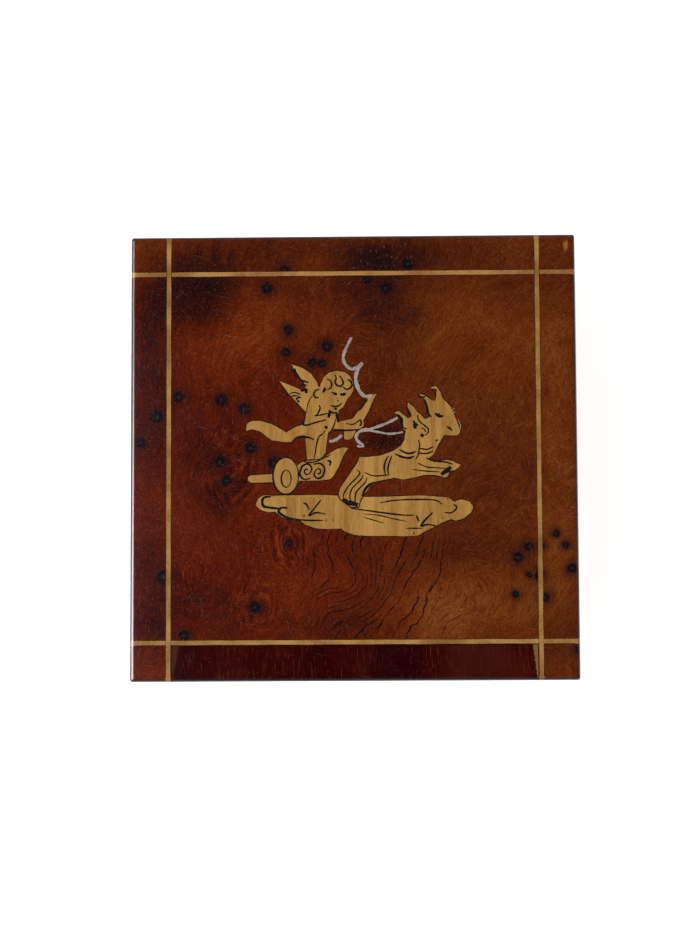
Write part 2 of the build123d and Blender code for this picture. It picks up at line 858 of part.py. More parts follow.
# ---- Key, lying on the drawer's lining along y ----

key_x = drawer_front_x - key_bow_radius - key_rest_room
key_z = drawer_floor_top + lining + key_collar_radius
key_tip = -key_length / 2
bow_middle = key_length / 2 - key_bow_radius
shank_end = bow_middle - key_bow_radius + key_bow_bar / 2
with BuildPart() as key:
    rod(key_shank_radius, key_tip, shank_end, (key_x, key_z), "Y")
    collar_end = shank_end - key_collar_length
    rod(key_collar_radius, collar_end - key_collar_length, collar_end, (key_x, key_z), "Y")
    bow_low = key_z - key_bow_thickness / 2
    rod(key_bow_radius, bow_low, bow_low + key_bow_thickness, (key_x, bow_middle), "Z")
    bow_hole = key_bow_radius - key_bow_bar
    rod(bow_hole, bow_low, bow_low + key_bow_thickness, (key_x, bow_middle), "Z", Mode.SUBTRACT)
    bore_radius = key_pin_radius + 2 * pin_clearance
    rod(bore_radius, key_tip, key_tip + key_bore_depth, (key_x, key_z), "Y", Mode.SUBTRACT)
    bit_low = key_z - key_bit_thickness / 2
    bit_start = key_x + key_shank_radius - key_bit_root
    block(
        (bit_start, key_x + key_shank_radius + key_bit_height),
        (key_tip + key_bit_thickness, key_tip + key_bit_thickness + key_bit_length),
        (bit_low, bit_low + key_bit_thickness),
    )
save(key, "key")

# ---- Lock ----

with BuildPart() as lock_case:
    block(lock_case_x, (lock_front, lock_cavity_back), (lock_low, lock_high))
    inside = lock_width / 2 - lock_sheet
    block(
        (-inside, inside),
        (lock_cavity_front, lock_cavity_back),
        (lock_low + lock_sheet, lock_high),
        Mode.SUBTRACT,
    )
    keyhole(lock_front, lock_cavity_front)
save(lock_case, "lock_case")

with BuildPart() as lock_back_plate:
    block(lock_plate_x, (lock_cavity_back, lock_wall_back), (lock_low, lock_high))
    add(lock_screw_bodies.part, mode=Mode.SUBTRACT)
save(lock_back_plate, "lock_back_plate")

with BuildPart() as lock_selvedge:
    block(lock_plate_x, (lock_front, lock_wall_back), (lock_high, joint_height))
    slot_half = staple_thickness / 2 + staple_clearance
    for x in (-staple_spread, staple_spread):
        block(
            (x - slot_half, x + slot_half),
            (staple_front - staple_swing_room, staple_back + staple_clearance),
            (lock_high, joint_height),
            Mode.SUBTRACT,
        )
save(lock_selvedge, "lock_selvedge")

with BuildPart() as key_pin:
    rod(key_pin_radius, lock_cavity_back - key_pin_length, lock_cavity_back, (0, key_axis), "Y")
    fillet(key_pin.edges().sort_by(Axis.Y)[0], key_pin_radius / 2)
save(key_pin, "key_pin")

with BuildPart() as escutcheon:
    rod(escutcheon_radius, lock_wall_front, lock_wall_front + escutcheon_thickness, (0, key_axis), "Y")
    keyhole(lock_wall_front, lock_wall_front + escutcheon_thickness)
save(escutcheon, "escutcheon")

bolt_y = (staple_middle - bolt_thickness / 2, staple_middle + bolt_thickness / 2)
bar_high = staple_low - staple_clearance
bar_low = bar_high - bolt_bar_height
nose_low = (window_low + window_high - bolt_nose_height) / 2
nose_high = nose_low + bolt_nose_height
nose_tip = -staple_thickness / 2 - bolt_gap  # from a staple's middle
finger_right = -staple_thickness / 2 - bolt_travel - bolt_gap
with BuildPart() as lock_bolt:
    block((-staple_spread + finger_right - bolt_finger, staple_spread), bolt_y, (bar_low, bar_high))
    for x in (-staple_spread, staple_spread):
        block((x + finger_right - bolt_finger, x + finger_right), bolt_y, (bar_high, nose_high))
        block((x + finger_right, x + nose_tip), bolt_y, (nose_low, nose_high))
    rod(bolt_notch_radius, *bolt_y, (0, bar_low), "Y", Mode.SUBTRACT)
save(lock_bolt, "lock_bolt")

with BuildPart() as lock_spring:
    spring_start = -lock_width / 2 + lock_sheet
    spring_high = bar_low - slide_gap
    spring_foot = lock_low + lock_sheet
    with BuildSketch(Plane.XZ.offset(-bolt_y[1])) as spring_section:
        with BuildLine():
            crest = spring_foot + spring_crest_share * (spring_high - spring_foot)
            bend = spring_start + spring_reach / 2
            outer_arc = ThreePointArc(
                (spring_start, spring_foot),
                (bend, crest),
                (spring_start + spring_reach, spring_high),
            )
            Line(outer_arc @ 1, (spring_start + spring_reach, spring_high - spring_thickness))
            ThreePointArc(
                (spring_start + spring_reach, spring_high - spring_thickness),
                (bend + spring_thickness / 2, crest - spring_thickness),
                (spring_start + spring_thickness, spring_foot),
            )
            Line((spring_start + spring_thickness, spring_foot), outer_arc @ 0)
        make_face()
    extrude(amount=bolt_thickness)
save(lock_spring, "lock_spring")

with BuildPart() as strike_plate:
    block(strike_x, strike_y, strike_z)
    add(strike_screw_bodies.part, mode=Mode.SUBTRACT)
    half = staple_thickness / 2
    for x in (-staple_spread, staple_spread):
        block((x - half, x + half), (staple_front, staple_back), (staple_low, lid_low))
        block(
            (x - half, x + half),
            (staple_middle - staple_window_width / 2, staple_middle + staple_window_width / 2),
            (window_low, window_high),
            Mode.SUBTRACT,
        )
save(strike_plate, "strike_plate")

# ---- Hinges ----

half_middle = middle_knuckle / 2


def leaf(middle, z, own_knuckles, others_knuckles):
    """Adds one hinge leaf with its knuckles and cuts room for those of the other leaf."""
    half = hinge_length / 2
    block((middle - half, middle + half), (leaf_y[0], hinge_y), z)
    for low, high in others_knuckles:
        rod(
            knuckle_radius + knuckle_gap,
            middle + low - knuckle_gap,
            middle + high + knuckle_gap,
            (hinge_y, joint_middle),
            "X",
            Mode.SUBTRACT,
        )
    for low, high in own_knuckles:
        rod(knuckle_radius, middle + low, middle + high, (hinge_y, joint_middle), "X")
    hole_radius = hinge_pin_radius + pin_clearance
    rod(hole_radius, middle - half, middle + half, (hinge_y, joint_middle), "X", Mode.SUBTRACT)


outer_knuckles = mirrored(half_middle + knuckle_gap, hinge_length / 2)
middle_knuckles = [(-half_middle, half_middle)]
for side, name in ((-1, "left"), (1, "right")):
    middle = side * hinge_spread
    with BuildPart() as case_leaf:
        leaf(middle, (joint_height - leaf_thickness, joint_height), outer_knuckles, middle_knuckles)
        add(case_hinge_screw_bodies.part, mode=Mode.SUBTRACT)
    save(case_leaf, f"hinge_{name}_case_leaf")
    with BuildPart() as lid_leaf:
        leaf(middle, (lid_low, lid_low + leaf_thickness), middle_knuckles, outer_knuckles)
        add(lid_hinge_screw_bodies.part, mode=Mode.SUBTRACT)
    save(lid_leaf, f"hinge_{name}_lid_leaf")

with BuildPart() as hinge_pins:
    for side in (-1, 1):
        middle = side * hinge_spread
        half = hinge_length / 2
        rod(hinge_pin_radius, middle - half, middle + half, (hinge_y, joint_middle), "X")
save(hinge_pins, "hinge_pins")

print("front panel, drawer and bolt travel", round(panel_travel, 2), drawer_travel, bolt_travel)
print("hinge axis y, z", round(hinge_y, 2), round(joint_middle, 2))
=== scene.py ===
"""Looks of a square inlaid puzzle box: lacquered burl, stringing, a marquetry picture, lock and key."""

import logging
import math
from dataclasses import dataclass, field
from enum import Enum
from typing import Iterable, Sequence, Union

import bmesh
import bpy
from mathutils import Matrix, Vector


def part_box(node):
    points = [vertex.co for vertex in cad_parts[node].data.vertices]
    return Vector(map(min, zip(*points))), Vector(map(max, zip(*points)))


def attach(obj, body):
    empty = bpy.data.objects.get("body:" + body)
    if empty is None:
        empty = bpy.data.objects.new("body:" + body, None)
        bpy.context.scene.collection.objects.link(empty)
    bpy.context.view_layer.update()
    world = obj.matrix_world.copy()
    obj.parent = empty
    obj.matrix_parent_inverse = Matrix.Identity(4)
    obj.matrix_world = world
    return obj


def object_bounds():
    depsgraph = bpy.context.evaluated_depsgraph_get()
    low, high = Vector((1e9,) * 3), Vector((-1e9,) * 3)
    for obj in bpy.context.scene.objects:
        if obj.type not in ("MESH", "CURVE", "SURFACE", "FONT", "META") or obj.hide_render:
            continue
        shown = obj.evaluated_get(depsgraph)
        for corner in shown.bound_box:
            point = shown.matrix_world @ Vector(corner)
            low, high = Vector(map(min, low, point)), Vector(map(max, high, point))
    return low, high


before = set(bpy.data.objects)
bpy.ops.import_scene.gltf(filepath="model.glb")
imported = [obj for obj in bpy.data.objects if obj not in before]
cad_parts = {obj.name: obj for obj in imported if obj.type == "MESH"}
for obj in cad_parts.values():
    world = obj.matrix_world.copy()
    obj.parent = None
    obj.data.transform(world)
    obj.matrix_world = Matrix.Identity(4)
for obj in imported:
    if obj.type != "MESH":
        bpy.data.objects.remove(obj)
CAD_BOX = [list(corner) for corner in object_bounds()]

Point = tuple[float, float]
Colour = tuple[float, float, float]
Socket = bpy.types.NodeSocket
Sockets = bpy.types.bpy_prop_collection
Value = Union[Socket, float, Sequence[float]]
MM = 0.001
log = logging.getLogger("puzzle_box")


# ---- Shader building ----


@dataclass
class Graph:
    """Adds shader nodes to one tree with short calls."""

    tree: bpy.types.NodeTree

    def node(self, kind: str, **settings: object) -> bpy.types.Node:
        """Adds one node.

        Args:
            kind: the node's type without the word ShaderNode.
            settings: attributes to set on it.

        Returns:
            The new node.
        """
        made = self.tree.nodes.new("ShaderNode" + kind)
        for key, value in settings.items():
            setattr(made, key, value)
        return made

    def feed(self, socket: Socket, value: Value) -> None:
        """Links another socket to this one, or sets a constant on it.

        Args:
            socket: the input to fill.
            value: a socket, or a number, colour or vector.
        """
        if isinstance(value, bpy.types.NodeSocket):
            self.tree.links.new(value, socket)
        elif isinstance(value, (tuple, list)) and len(value) == 3 and socket.type == "RGBA":
            socket.default_value = (*value, 1.0)
        else:
            socket.default_value = value

    def math(self, operation: str, *values: Value) -> Socket:
        """Adds a Math node.

        Args:
            operation: the node's operation.
            values: its inputs, in order.

        Returns:
            The result.
        """
        made = self.node("Math", operation=operation)
        for socket, value in zip(made.inputs, values):
            self.feed(socket, value)
        return made.outputs[0]

    def add(self, first: Value, second: Value) -> Socket:
        """Adds two values."""
        return self.math("ADD", first, second)

    def subtract(self, first: Value, second: Value) -> Socket:
        """Takes the second value from the first."""
        return self.math("SUBTRACT", first, second)

    def times(self, first: Value, second: Value) -> Socket:
        """Multiplies two values."""
        return self.math("MULTIPLY", first, second)

    def times_add(self, value: Value, factor: Value, start: Value) -> Socket:
        """Multiplies the first two values and adds the third."""
        return self.math("MULTIPLY_ADD", value, factor, start)

    def centred(self, value: Value) -> Socket:
        """Moves a value that is centred on one half so that it is centred on 0."""
        return self.subtract(value, 0.5)

    def millimetres(self) -> Socket:
        """Gives the place in the object, in millimetres."""
        return self.vector("SCALE", self.node("TexCoord").outputs["Object"], 1.0 / MM)

    def vector(self, operation: str, *values: Value) -> Socket:
        """Adds a Vector Math node.

        Args:
            operation: the node's operation.
            values: its inputs, in order; a number goes to the Scale input of SCALE.

        Returns:
            The vector, or the number for DISTANCE, LENGTH and DOT_PRODUCT.
        """
        made = self.node("VectorMath", operation=operation)
        sockets = [made.inputs[0], made.inputs["Scale"]] if operation == "SCALE" else made.inputs
        for socket, value in zip(sockets, values):
            self.feed(socket, value)
        return made.outputs["Value" if operation in ("DISTANCE", "LENGTH", "DOT_PRODUCT") else "Vector"]

    def step(
        self, value: Socket, low: float, high: float, start: float = 0.0, end: float = 1.0
    ) -> Socket:
        """Adds a smooth step.

        Args:
            value: what to map.
            low: where the step begins.
            high: where it ends.
            start: the result below low.
            end: the result above high.

        Returns:
            The mapped value.
        """
        made = self.node("MapRange", interpolation_type="SMOOTHSTEP")
        for socket, given in zip(made.inputs, (value, low, high, start, end)):
            self.feed(socket, given)
        return made.outputs[0]

    def noise(
        self, vector: Socket, scale: float, detail: float = 3.0, rough: float = 0.5, flat: bool = False
    ) -> Socket:
        """Adds a Noise Texture.

        Args:
            vector: where to read it.
            scale: how fine it is.
            detail: octaves.
            rough: share of the fine octaves.
            flat: reads it on a plane, without the third value of the vector.

        Returns:
            The noise, centred on one half.
        """
        made = self.node("TexNoise", noise_dimensions="2D" if flat else "3D")
        self.feed(made.inputs["Vector"], vector)
        for key, value in (("Scale", scale), ("Detail", detail), ("Roughness", rough)):
            self.feed(made.inputs[key], value)
        return made.outputs["Fac"]

    def shift(self, vector: Socket, scale: float, detail: float, reach: float) -> Socket:
        """Gives a flat offset that wanders from place to place.

        Args:
            vector: where to read it.
            scale: how fine it is.
            detail: octaves.
            reach: how far it can push, both ways together.

        Returns:
            The offset.
        """
        made = self.node("TexNoise", noise_dimensions="2D")
        self.feed(made.inputs["Vector"], vector)
        for key, value in (("Scale", scale), ("Detail", detail)):
            self.feed(made.inputs[key], value)
        centred = self.vector("SUBTRACT", made.outputs["Color"], (0.5, 0.5, 0.5))
        return self.vector("MULTIPLY", centred, (reach, reach, 0.0))

    def mix(self, factor: Value, low: Value, high: Value, blend: str = "MIX") -> Socket:
        """Adds a colour mix.

        Args:
            factor: share of high.
            low: the colour at 0.
            high: the colour at 1.
            blend: the blend mode.

        Returns:
            The mixed colour.
        """
        made = self.node("Mix", data_type="RGBA", blend_type=blend)
        for index, value in ((0, factor), (6, low), (7, high)):
            self.feed(made.inputs[index], value)
        return made.outputs[2]

    def ramp(self, factor: Socket, stops: Sequence[tuple[float, Colour]]) -> Socket:
        """Adds a colour ramp.

        Args:
            factor: what to look up.
            stops: places from 0 to 1 and their colours.

        Returns:
            The colour.
        """
        made = self.node("ValToRGB")
        elements = made.color_ramp.elements
        while len(elements) < len(stops):
            elements.new(0.5)
        for element, (place, colour) in zip(elements, stops):
            element.position = place
            element.color = (*colour, 1.0)
        self.feed(made.inputs[0], factor)
        return made.outputs[0]

    def parts(self, vector: Socket) -> list[Socket]:
        """Splits a vector.

        Args:
            vector: what to split.

        Returns:
            Its three values.
        """
        made = self.node("SeparateXYZ")
        self.feed(made.inputs[0], vector)
        return list(made.outputs)

    def join(self, x: Value, y: Value, z: Value = 0.0) -> Socket:
        """Makes a vector.

        Args:
            x: its first value.
            y: its second value.
            z: its third value.

        Returns:
            The vector.
        """
        made = self.node("CombineXYZ")
        for socket, value in zip(made.inputs, (x, y, z)):
            self.feed(socket, value)
        return made.outputs[0]

    def turned(self, vector: Socket, degrees: float, stretch: tuple[float, float, float]) -> Socket:
        """Turns a vector about Z and then scales it along each axis.

        Args:
            vector: what to turn.
            degrees: the angle, positive from Y towards X.
            stretch: scale along the turned axes.

        Returns:
            The new vector.
        """
        made = self.node("Mapping")
        self.feed(made.inputs["Vector"], vector)
        made.inputs["Rotation"].default_value = (0.0, 0.0, math.radians(degrees))
        return self.vector("MULTIPLY", made.outputs[0], stretch)

    def use(self, group: bpy.types.NodeTree, **values: Value) -> bpy.types.Node:
        """Places a node group.

        Args:
            group: the group's tree.
            values: its inputs by name.

        Returns:
            The group node.
        """
        made = self.node("Group", node_tree=group)
        for key, value in values.items():
            self.feed(made.inputs[key], value)
        return made


class Kind(Enum):
    """Socket types of a node group."""

    NUMBER = "NodeSocketFloat"
    VECTOR = "NodeSocketVector"
    COLOUR = "NodeSocketColor"


class NodeGroup:
    """A shader node group that is built once and then shared."""

    title = ""
    inputs: dict[str, tuple[Kind, object]] = {}
    outputs: dict[str, Kind] = {}
    built: dict[str, bpy.types.NodeTree] = {}

    @classmethod
    def tree(cls) -> bpy.types.NodeTree:
        """Gives the group's tree, and builds it on the first call.

        Returns:
            The tree.
        """
        if cls.title in NodeGroup.built:
            return NodeGroup.built[cls.title]
        made = bpy.data.node_groups.new(cls.title, "ShaderNodeTree")
        for name, (kind, default) in cls.inputs.items():
            socket = made.interface.new_socket(name, in_out="INPUT", socket_type=kind.value)
            if default is not None:
                socket.default_value = default
        for name, kind in cls.outputs.items():
            made.interface.new_socket(name, in_out="OUTPUT", socket_type=kind.value)
        start, end = made.nodes.new("NodeGroupInput"), made.nodes.new("NodeGroupOutput")
        graph = Graph(made)
        for name, socket in cls.fill(graph, start.outputs).items():
            graph.feed(end.inputs[name], socket)
        NodeGroup.built[cls.title] = made
        return made

    @classmethod
    def fill(cls, graph: Graph, given: Sockets) -> dict[str, Socket]:
        """Adds the group's nodes.

        Args:
            graph: the group's graph.
            given: the group's inputs by name.

        Returns:
            The outputs by name.
        """
        raise NotImplementedError


class VeneerPlane(NodeGroup):
    """Lays a flat sheet of veneer on each face: gives the place on the sheet, in millimetres."""

    title = "Veneer plane"
    outputs = {"Place": Kind.VECTOR, "Top": Kind.NUMBER, "Rim": Kind.NUMBER}
    side_start = (170.0, 90.0)
    front_start = (330.0, 210.0)
    facing_up = 0.72

    @classmethod
    def choose(cls, graph: Graph, factor: Socket, low: Socket, high: Socket) -> Socket:
        """Chooses between two vectors.

        Args:
            graph: the group's graph.
            factor: 0 for the first vector, 1 for the second.
            low: the first vector.
            high: the second vector.

        Returns:
            The chosen vector.
        """
        made = graph.node("Mix", data_type="VECTOR")
        for index, value in ((0, factor), (4, low), (5, high)):
            graph.feed(made.inputs[index], value)
        return made.outputs[1]

    @classmethod
    def fill(cls, graph: Graph, given: Sockets) -> dict[str, Socket]:
        """Adds the group's nodes.

        Args:
            graph: the group's graph.
            given: the group's inputs by name.

        Returns:
            The outputs by name.
        """
        source = graph.node("TexCoord")
        place = graph.vector("SCALE", source.outputs["Object"], 1.0 / MM)
        x, y, z = graph.parts(place)
        nx, ny, nz = graph.parts(graph.vector("ABSOLUTE", source.outputs["Normal"]))
        top = graph.math("GREATER_THAN", nz, cls.facing_up)
        sideways = graph.math("GREATER_THAN", nx, ny)
        on_side = graph.join(graph.add(y, cls.side_start[0]), graph.add(z, cls.side_start[1]))
        on_front = graph.join(graph.add(x, cls.front_start[0]), graph.add(z, cls.front_start[1]))
        flattest = graph.math("MAXIMUM", nz, graph.math("MAXIMUM", nx, ny))
        rim = graph.step(flattest, 0.80, 0.97, 1.0, 0.0)
        upright = cls.choose(graph, sideways, on_front, on_side)
        both = cls.choose(graph, top, upright, graph.join(x, y))
        return {"Place": both, "Top": top, "Rim": rim}


@dataclass(frozen=True)
class Patch:
    """A soft oval on the lid where the wood is darker or lighter, in millimetres from the lid's middle."""

    x: float
    y: float
    wide: float
    deep: float
    tone: float


CLOUDS = (
    Patch(-39.7, 41.5, 13, 12, -0.33),
    Patch(-15.7, 51.5, 26, 4.5, -0.08),
    Patch(3.0, 44.0, 12, 10, -0.25),
    Patch(9.3, 34.5, 9, 5, -0.12),
    Patch(12.3, 49.5, 16, 5, -0.17),
    Patch(-49.7, 17.5, 6, 36, -0.16),
    Patch(-49.7, -30.5, 6, 22, -0.12),
    Patch(-50.7, -51.5, 7, 5, 0.08),
    Patch(-33.7, -0.5, 13, 14, -0.12),
    Patch(-31.7, -10.5, 8, 6, -0.14),
    Patch(7.8, 5.0, 8, 5, -0.26),
    Patch(-21.7, 11.5, 14, 9, -0.05),
    Patch(-37.7, -38.5, 14, 11, -0.12),
    Patch(-1.7, -38.5, 18, 10, -0.05),
    Patch(-25.7, 31.5, 18, 10, 0.10),
    Patch(28.3, 25.5, 26, 24, 0.07),
    Patch(27.3, -36.5, 22, 12, 0.19),
    Patch(50.3, -4.5, 6, 50, 0.13),
    Patch(-11.7, -32.5, 12, 8, 0.08),
    Patch(50.3, -51.5, 6, 5, 0.03),
    Patch(52.7, 51.9, 0.8, 1.8, 0.50),
)


@dataclass(frozen=True)
class Eye:
    """A pin knot in the burl, in millimetres from the lid's middle."""

    x: float
    y: float
    radius: float = 1.3


EYES = (
    Eye(-16.1, 31.4, 1.49),
    Eye(-6.5, 27.4, 1.54),
    Eye(-16.6, 26.0, 1.21),
    Eye(-10.0, 23.2, 1.38),
    Eye(-7.7, 23.0, 1.26),
    Eye(-43.1, 14.8, 1.59),
    Eye(-32.5, 14.1, 1.65),
    Eye(-26.8, 11.9, 1.59),
    Eye(-48.5, 10.1, 1.71),
    Eye(-52.5, 3.7, 1.43),
    Eye(-25.3, 2.2, 1.59),
    Eye(-32.9, -1.2, 1.65),
    Eye(-19.6, -1.5, 1.65),
    Eye(-31.2, -5.7, 1.49),
    Eye(-15.9, -21.3, 1.10),
    Eye(-24.3, -36.8, 1.65),
    Eye(-41.6, -43.8, 1.43),
    Eye(-46.5, -29.4, 1.98),
    Eye(-21.3, 42.0, 1.65),
    Eye(8.1, 41.8, 1.65),
    Eye(3.5, 43.9, 1.10),
    Eye(-16.9, 46.4, 1.43),
    Eye(13.7, 47.7, 1.65),
    Eye(49.4, -19.3, 1.10),
    Eye(51.8, -22.0, 1.10),
    Eye(42.7, -22.5, 1.38),
    Eye(45.7, -22.3, 1.21),
    Eye(40.0, -25.0, 1.49),
    Eye(53.3, -27.7, 1.43),
    Eye(45.1, -29.4, 1.32),
    Eye(42.7, -29.4, 0.77),
    Eye(39.5, -34.1, 1.10),
    Eye(46.5, -34.9, 1.43),
    Eye(54.9, -47.7, 1.43),
)
SWIRLS = (Eye(-15.9, -21.3, 9.00), Eye(-24.3, -36.8, 8.50), Eye(-30.7, -3.5, 12.00))


class BurlFigure(NodeGroup):
    """The burl's colour and figure: clouds, curling fibres, dark flames, pin knots and flecks."""

    title = "Burl figure"
    inputs = {"Place": (Kind.VECTOR, None), "Top": (Kind.NUMBER, 1.0), "Tone": (Kind.NUMBER, 0.0)}
    outputs = {"Color": Kind.COLOUR, "Height": Kind.NUMBER}
    tones: tuple[tuple[float, Colour], ...] = (
        (0.08, (0.010, 0.0040, 0.0045)),
        (0.28, (0.040, 0.0070, 0.0036)),
        (0.46, (0.092, 0.0155, 0.0028)),
        (0.60, (0.142, 0.0275, 0.0042)),
        (0.78, (0.215, 0.0640, 0.0110)),
        (1.0, (0.36, 0.145, 0.034)),
    )
    halo_colour: Colour = (0.036, 0.0055, 0.0045)
    pit_colour: Colour = (0.0050, 0.0038, 0.0062)
    core_colour: Colour = (0.040, 0.027, 0.024)
    pore_colour: Colour = (0.016, 0.0048, 0.0040)
    fleck_colour: Colour = (0.30, 0.115, 0.035)
    blush: Colour = (1.0, 0.56, 0.60)
    blush_middle = (-38.0, -14.0, 0.0)
    blush_radii = (68.0, 84.0, 1.0)
    flame_turning_point = (-35.0, -12.0, 0.0)
    flame_middle = (6.5, -31.0, 0.0)
    flame_radii = (21.0, 19.0, 1.0)
    knot_spacing = 0.085
    knot_share = 0.5

    @classmethod
    def nearest(cls, graph: Graph, place: Socket, eyes: Iterable[Eye]) -> Socket:
        """Measures how near the closest eye is.

        Args:
            graph: where to add nodes.
            place: the place on the sheet.
            eyes: the knots or swirls.

        Returns:
            The distance, in radii of that eye.
        """
        found = None
        for eye in eyes:
            away = graph.vector("DISTANCE", place, (eye.x, eye.y, 0.0))
            ratio = graph.math("DIVIDE", away, eye.radius)
            found = ratio if found is None else graph.math("MINIMUM", found, ratio)
        return found

    @classmethod
    def clouds(cls, graph: Graph, place: Socket) -> Socket:
        """Adds up the soft ovals.

        Args:
            graph: where to add nodes.
            place: the place on the sheet.

        Returns:
            How much lighter or darker the wood is there.
        """
        total = None
        for cloud in CLOUDS:
            offset = graph.vector("SUBTRACT", place, (cloud.x, cloud.y, 0.0))
            away = graph.vector("LENGTH", graph.vector("DIVIDE", offset, (cloud.wide, cloud.deep, 1.0)))
            tone = graph.step(away, 0.25, 1.25, cloud.tone, 0.0)
            total = tone if total is None else graph.add(total, tone)
        return total

    @classmethod
    def knots(cls, graph: Graph, near: Socket, top: Socket, not_top: Socket) -> Socket:
        """Measures how near the closest pin knot is: a listed one on the lid, a scattered one elsewhere.

        Args:
            graph: where to add nodes.
            near: the place on the sheet, a little ragged.
            top: 1 on the lid's face.
            not_top: 1 elsewhere.

        Returns:
            The distance, in radii of that knot.
        """
        listed = cls.nearest(graph, near, EYES)
        cells = graph.node("TexVoronoi", feature="F1", voronoi_dimensions="2D")
        graph.feed(cells.inputs["Vector"], near)
        graph.feed(cells.inputs["Scale"], cls.knot_spacing)
        chance, girth, _ = graph.parts(cells.outputs["Color"])
        far = graph.math("DIVIDE", cells.outputs["Distance"], graph.times_add(girth, 0.05, 0.085))
        far = graph.add(far, graph.times(graph.math("LESS_THAN", chance, cls.knot_share), 9.0))
        return graph.add(graph.times(listed, top), graph.times(far, not_top))

    @classmethod
    def rings(cls, graph: Graph, near: Socket, bent: Socket, not_top: Socket) -> Socket:
        """Draws the rings that curl round the swirls of the lid.

        Args:
            graph: where to add nodes.
            near: the place on the sheet, a little ragged.
            bent: the place on the sheet, bent as the grain is.
            not_top: 1 away from the lid's face.

        Returns:
            The rings, centred on 0.
        """
        swirl = graph.add(cls.nearest(graph, near, SWIRLS), graph.times(not_top, 5.0))
        bands = graph.join(graph.times(swirl, 7.0), graph.parts(bent)[0])
        rings = graph.centred(graph.noise(bands, 0.9, 2.0, flat=True))
        return graph.times(rings, graph.step(swirl, 0.25, 1.1, 1.0, 0.0))

    @classmethod
    def fibres(cls, graph: Graph, curled: Socket, bent: Socket) -> Socket:
        """Draws the fibres, which are steep on the left of the lid and slant on its right.

        Args:
            graph: where to add nodes.
            curled: the place on the sheet, bent and curled.
            bent: the place on the sheet, bent as the grain is.

        Returns:
            The fibres, centred on 0.
        """
        slanted = graph.noise(graph.turned(curled, -46.0, (0.16, 1.5, 1.0)), 1.0, 4.0, 0.62, flat=True)
        upright = graph.noise(graph.turned(curled, -78.0, (0.14, 1.2, 1.0)), 1.0, 4.0, 0.62, flat=True)
        right = graph.step(graph.parts(bent)[0], -4.0, 22.0)
        return graph.centred(graph.mix(right, upright, slanted))

    @classmethod
    def flames(cls, graph: Graph, place: Socket, bent: Socket, close: Socket, top: Socket) -> Socket:
        """Draws the dark broken lines that fan out below the lid's picture.

        Args:
            graph: where to add nodes.
            place: the place on the sheet.
            bent: the place on the sheet, bent as the grain is.
            close: the offset of the fine curls.
            top: 1 on the lid's face.

        Returns:
            How strong the lines are, from 0 to 1.
        """
        turning = graph.vector("SUBTRACT", bent, cls.flame_turning_point)
        radius = graph.vector("LENGTH", turning)
        across, up, _ = graph.parts(turning)
        turn = graph.math("ARCTAN2", up, across)
        drift = graph.times(graph.noise(place, 0.075, 3.0, 0.6, flat=True), 2.4)
        bands = graph.math("FRACT", graph.times_add(radius, 0.60, drift))
        bands = graph.math("ABSOLUTE", graph.centred(bands))
        dashes = graph.join(graph.times(radius, 0.55), graph.times(turn, 3.4))
        broken = graph.step(graph.noise(dashes, 1.0, 2.0, flat=True), 0.42, 0.58)
        area = graph.vector("SUBTRACT", graph.vector("ADD", place, close), cls.flame_middle)
        area = graph.vector("LENGTH", graph.vector("DIVIDE", area, cls.flame_radii))
        area = graph.times(graph.step(area, 0.6, 1.15, 1.0, 0.06), top)
        return graph.times(graph.times(graph.step(bands, 0.03, 0.15, 1.0, 0.0), area), broken)

    @classmethod
    def stained(cls, graph: Graph, place: Socket, top: Socket, tone: Socket, eyes: Socket) -> Socket:
        """Colours the wood, with its redder left side and the pin knots.

        Args:
            graph: where to add nodes.
            place: the place on the sheet.
            top: 1 on the lid's face.
            tone: how light the wood is.
            eyes: the distance to the closest knot, in radii.

        Returns:
            The colour.
        """
        colour = graph.ramp(graph.add(tone, 0.5), cls.tones)
        offset = graph.vector("SUBTRACT", place, cls.blush_middle)
        away = graph.vector("LENGTH", graph.vector("DIVIDE", offset, cls.blush_radii))
        blushed = graph.times(graph.step(away, 0.35, 1.0, 1.0, 0.0), top)
        colour = graph.mix(blushed, colour, graph.mix(1.0, colour, cls.blush, "MULTIPLY"))
        colour = graph.mix(graph.step(eyes, 0.8, 2.6, 0.62, 0.0), colour, cls.halo_colour)
        colour = graph.mix(graph.step(eyes, 0.55, 1.20, 0.97, 0.0), colour, cls.pit_colour)
        return graph.mix(graph.step(eyes, 0.10, 0.40, 0.45, 0.0), colour, cls.core_colour)

    @classmethod
    def fill(cls, graph: Graph, given: Sockets) -> dict[str, Socket]:
        """Adds the group's nodes.

        Args:
            graph: the group's graph.
            given: the group's inputs by name.

        Returns:
            The outputs by name.
        """
        place, top = given["Place"], given["Top"]
        not_top = graph.subtract(1.0, top)
        close = graph.shift(place, 0.22, 2.0, 2.0)
        ragged = graph.shift(place, 0.55, 1.0, 0.5)
        bent = graph.vector("ADD", place, graph.shift(place, 0.040, 1.0, 16.0))
        curled = graph.vector("ADD", bent, close)
        near = graph.vector("ADD", place, graph.vector("ADD", graph.vector("SCALE", close, 0.25), ragged))

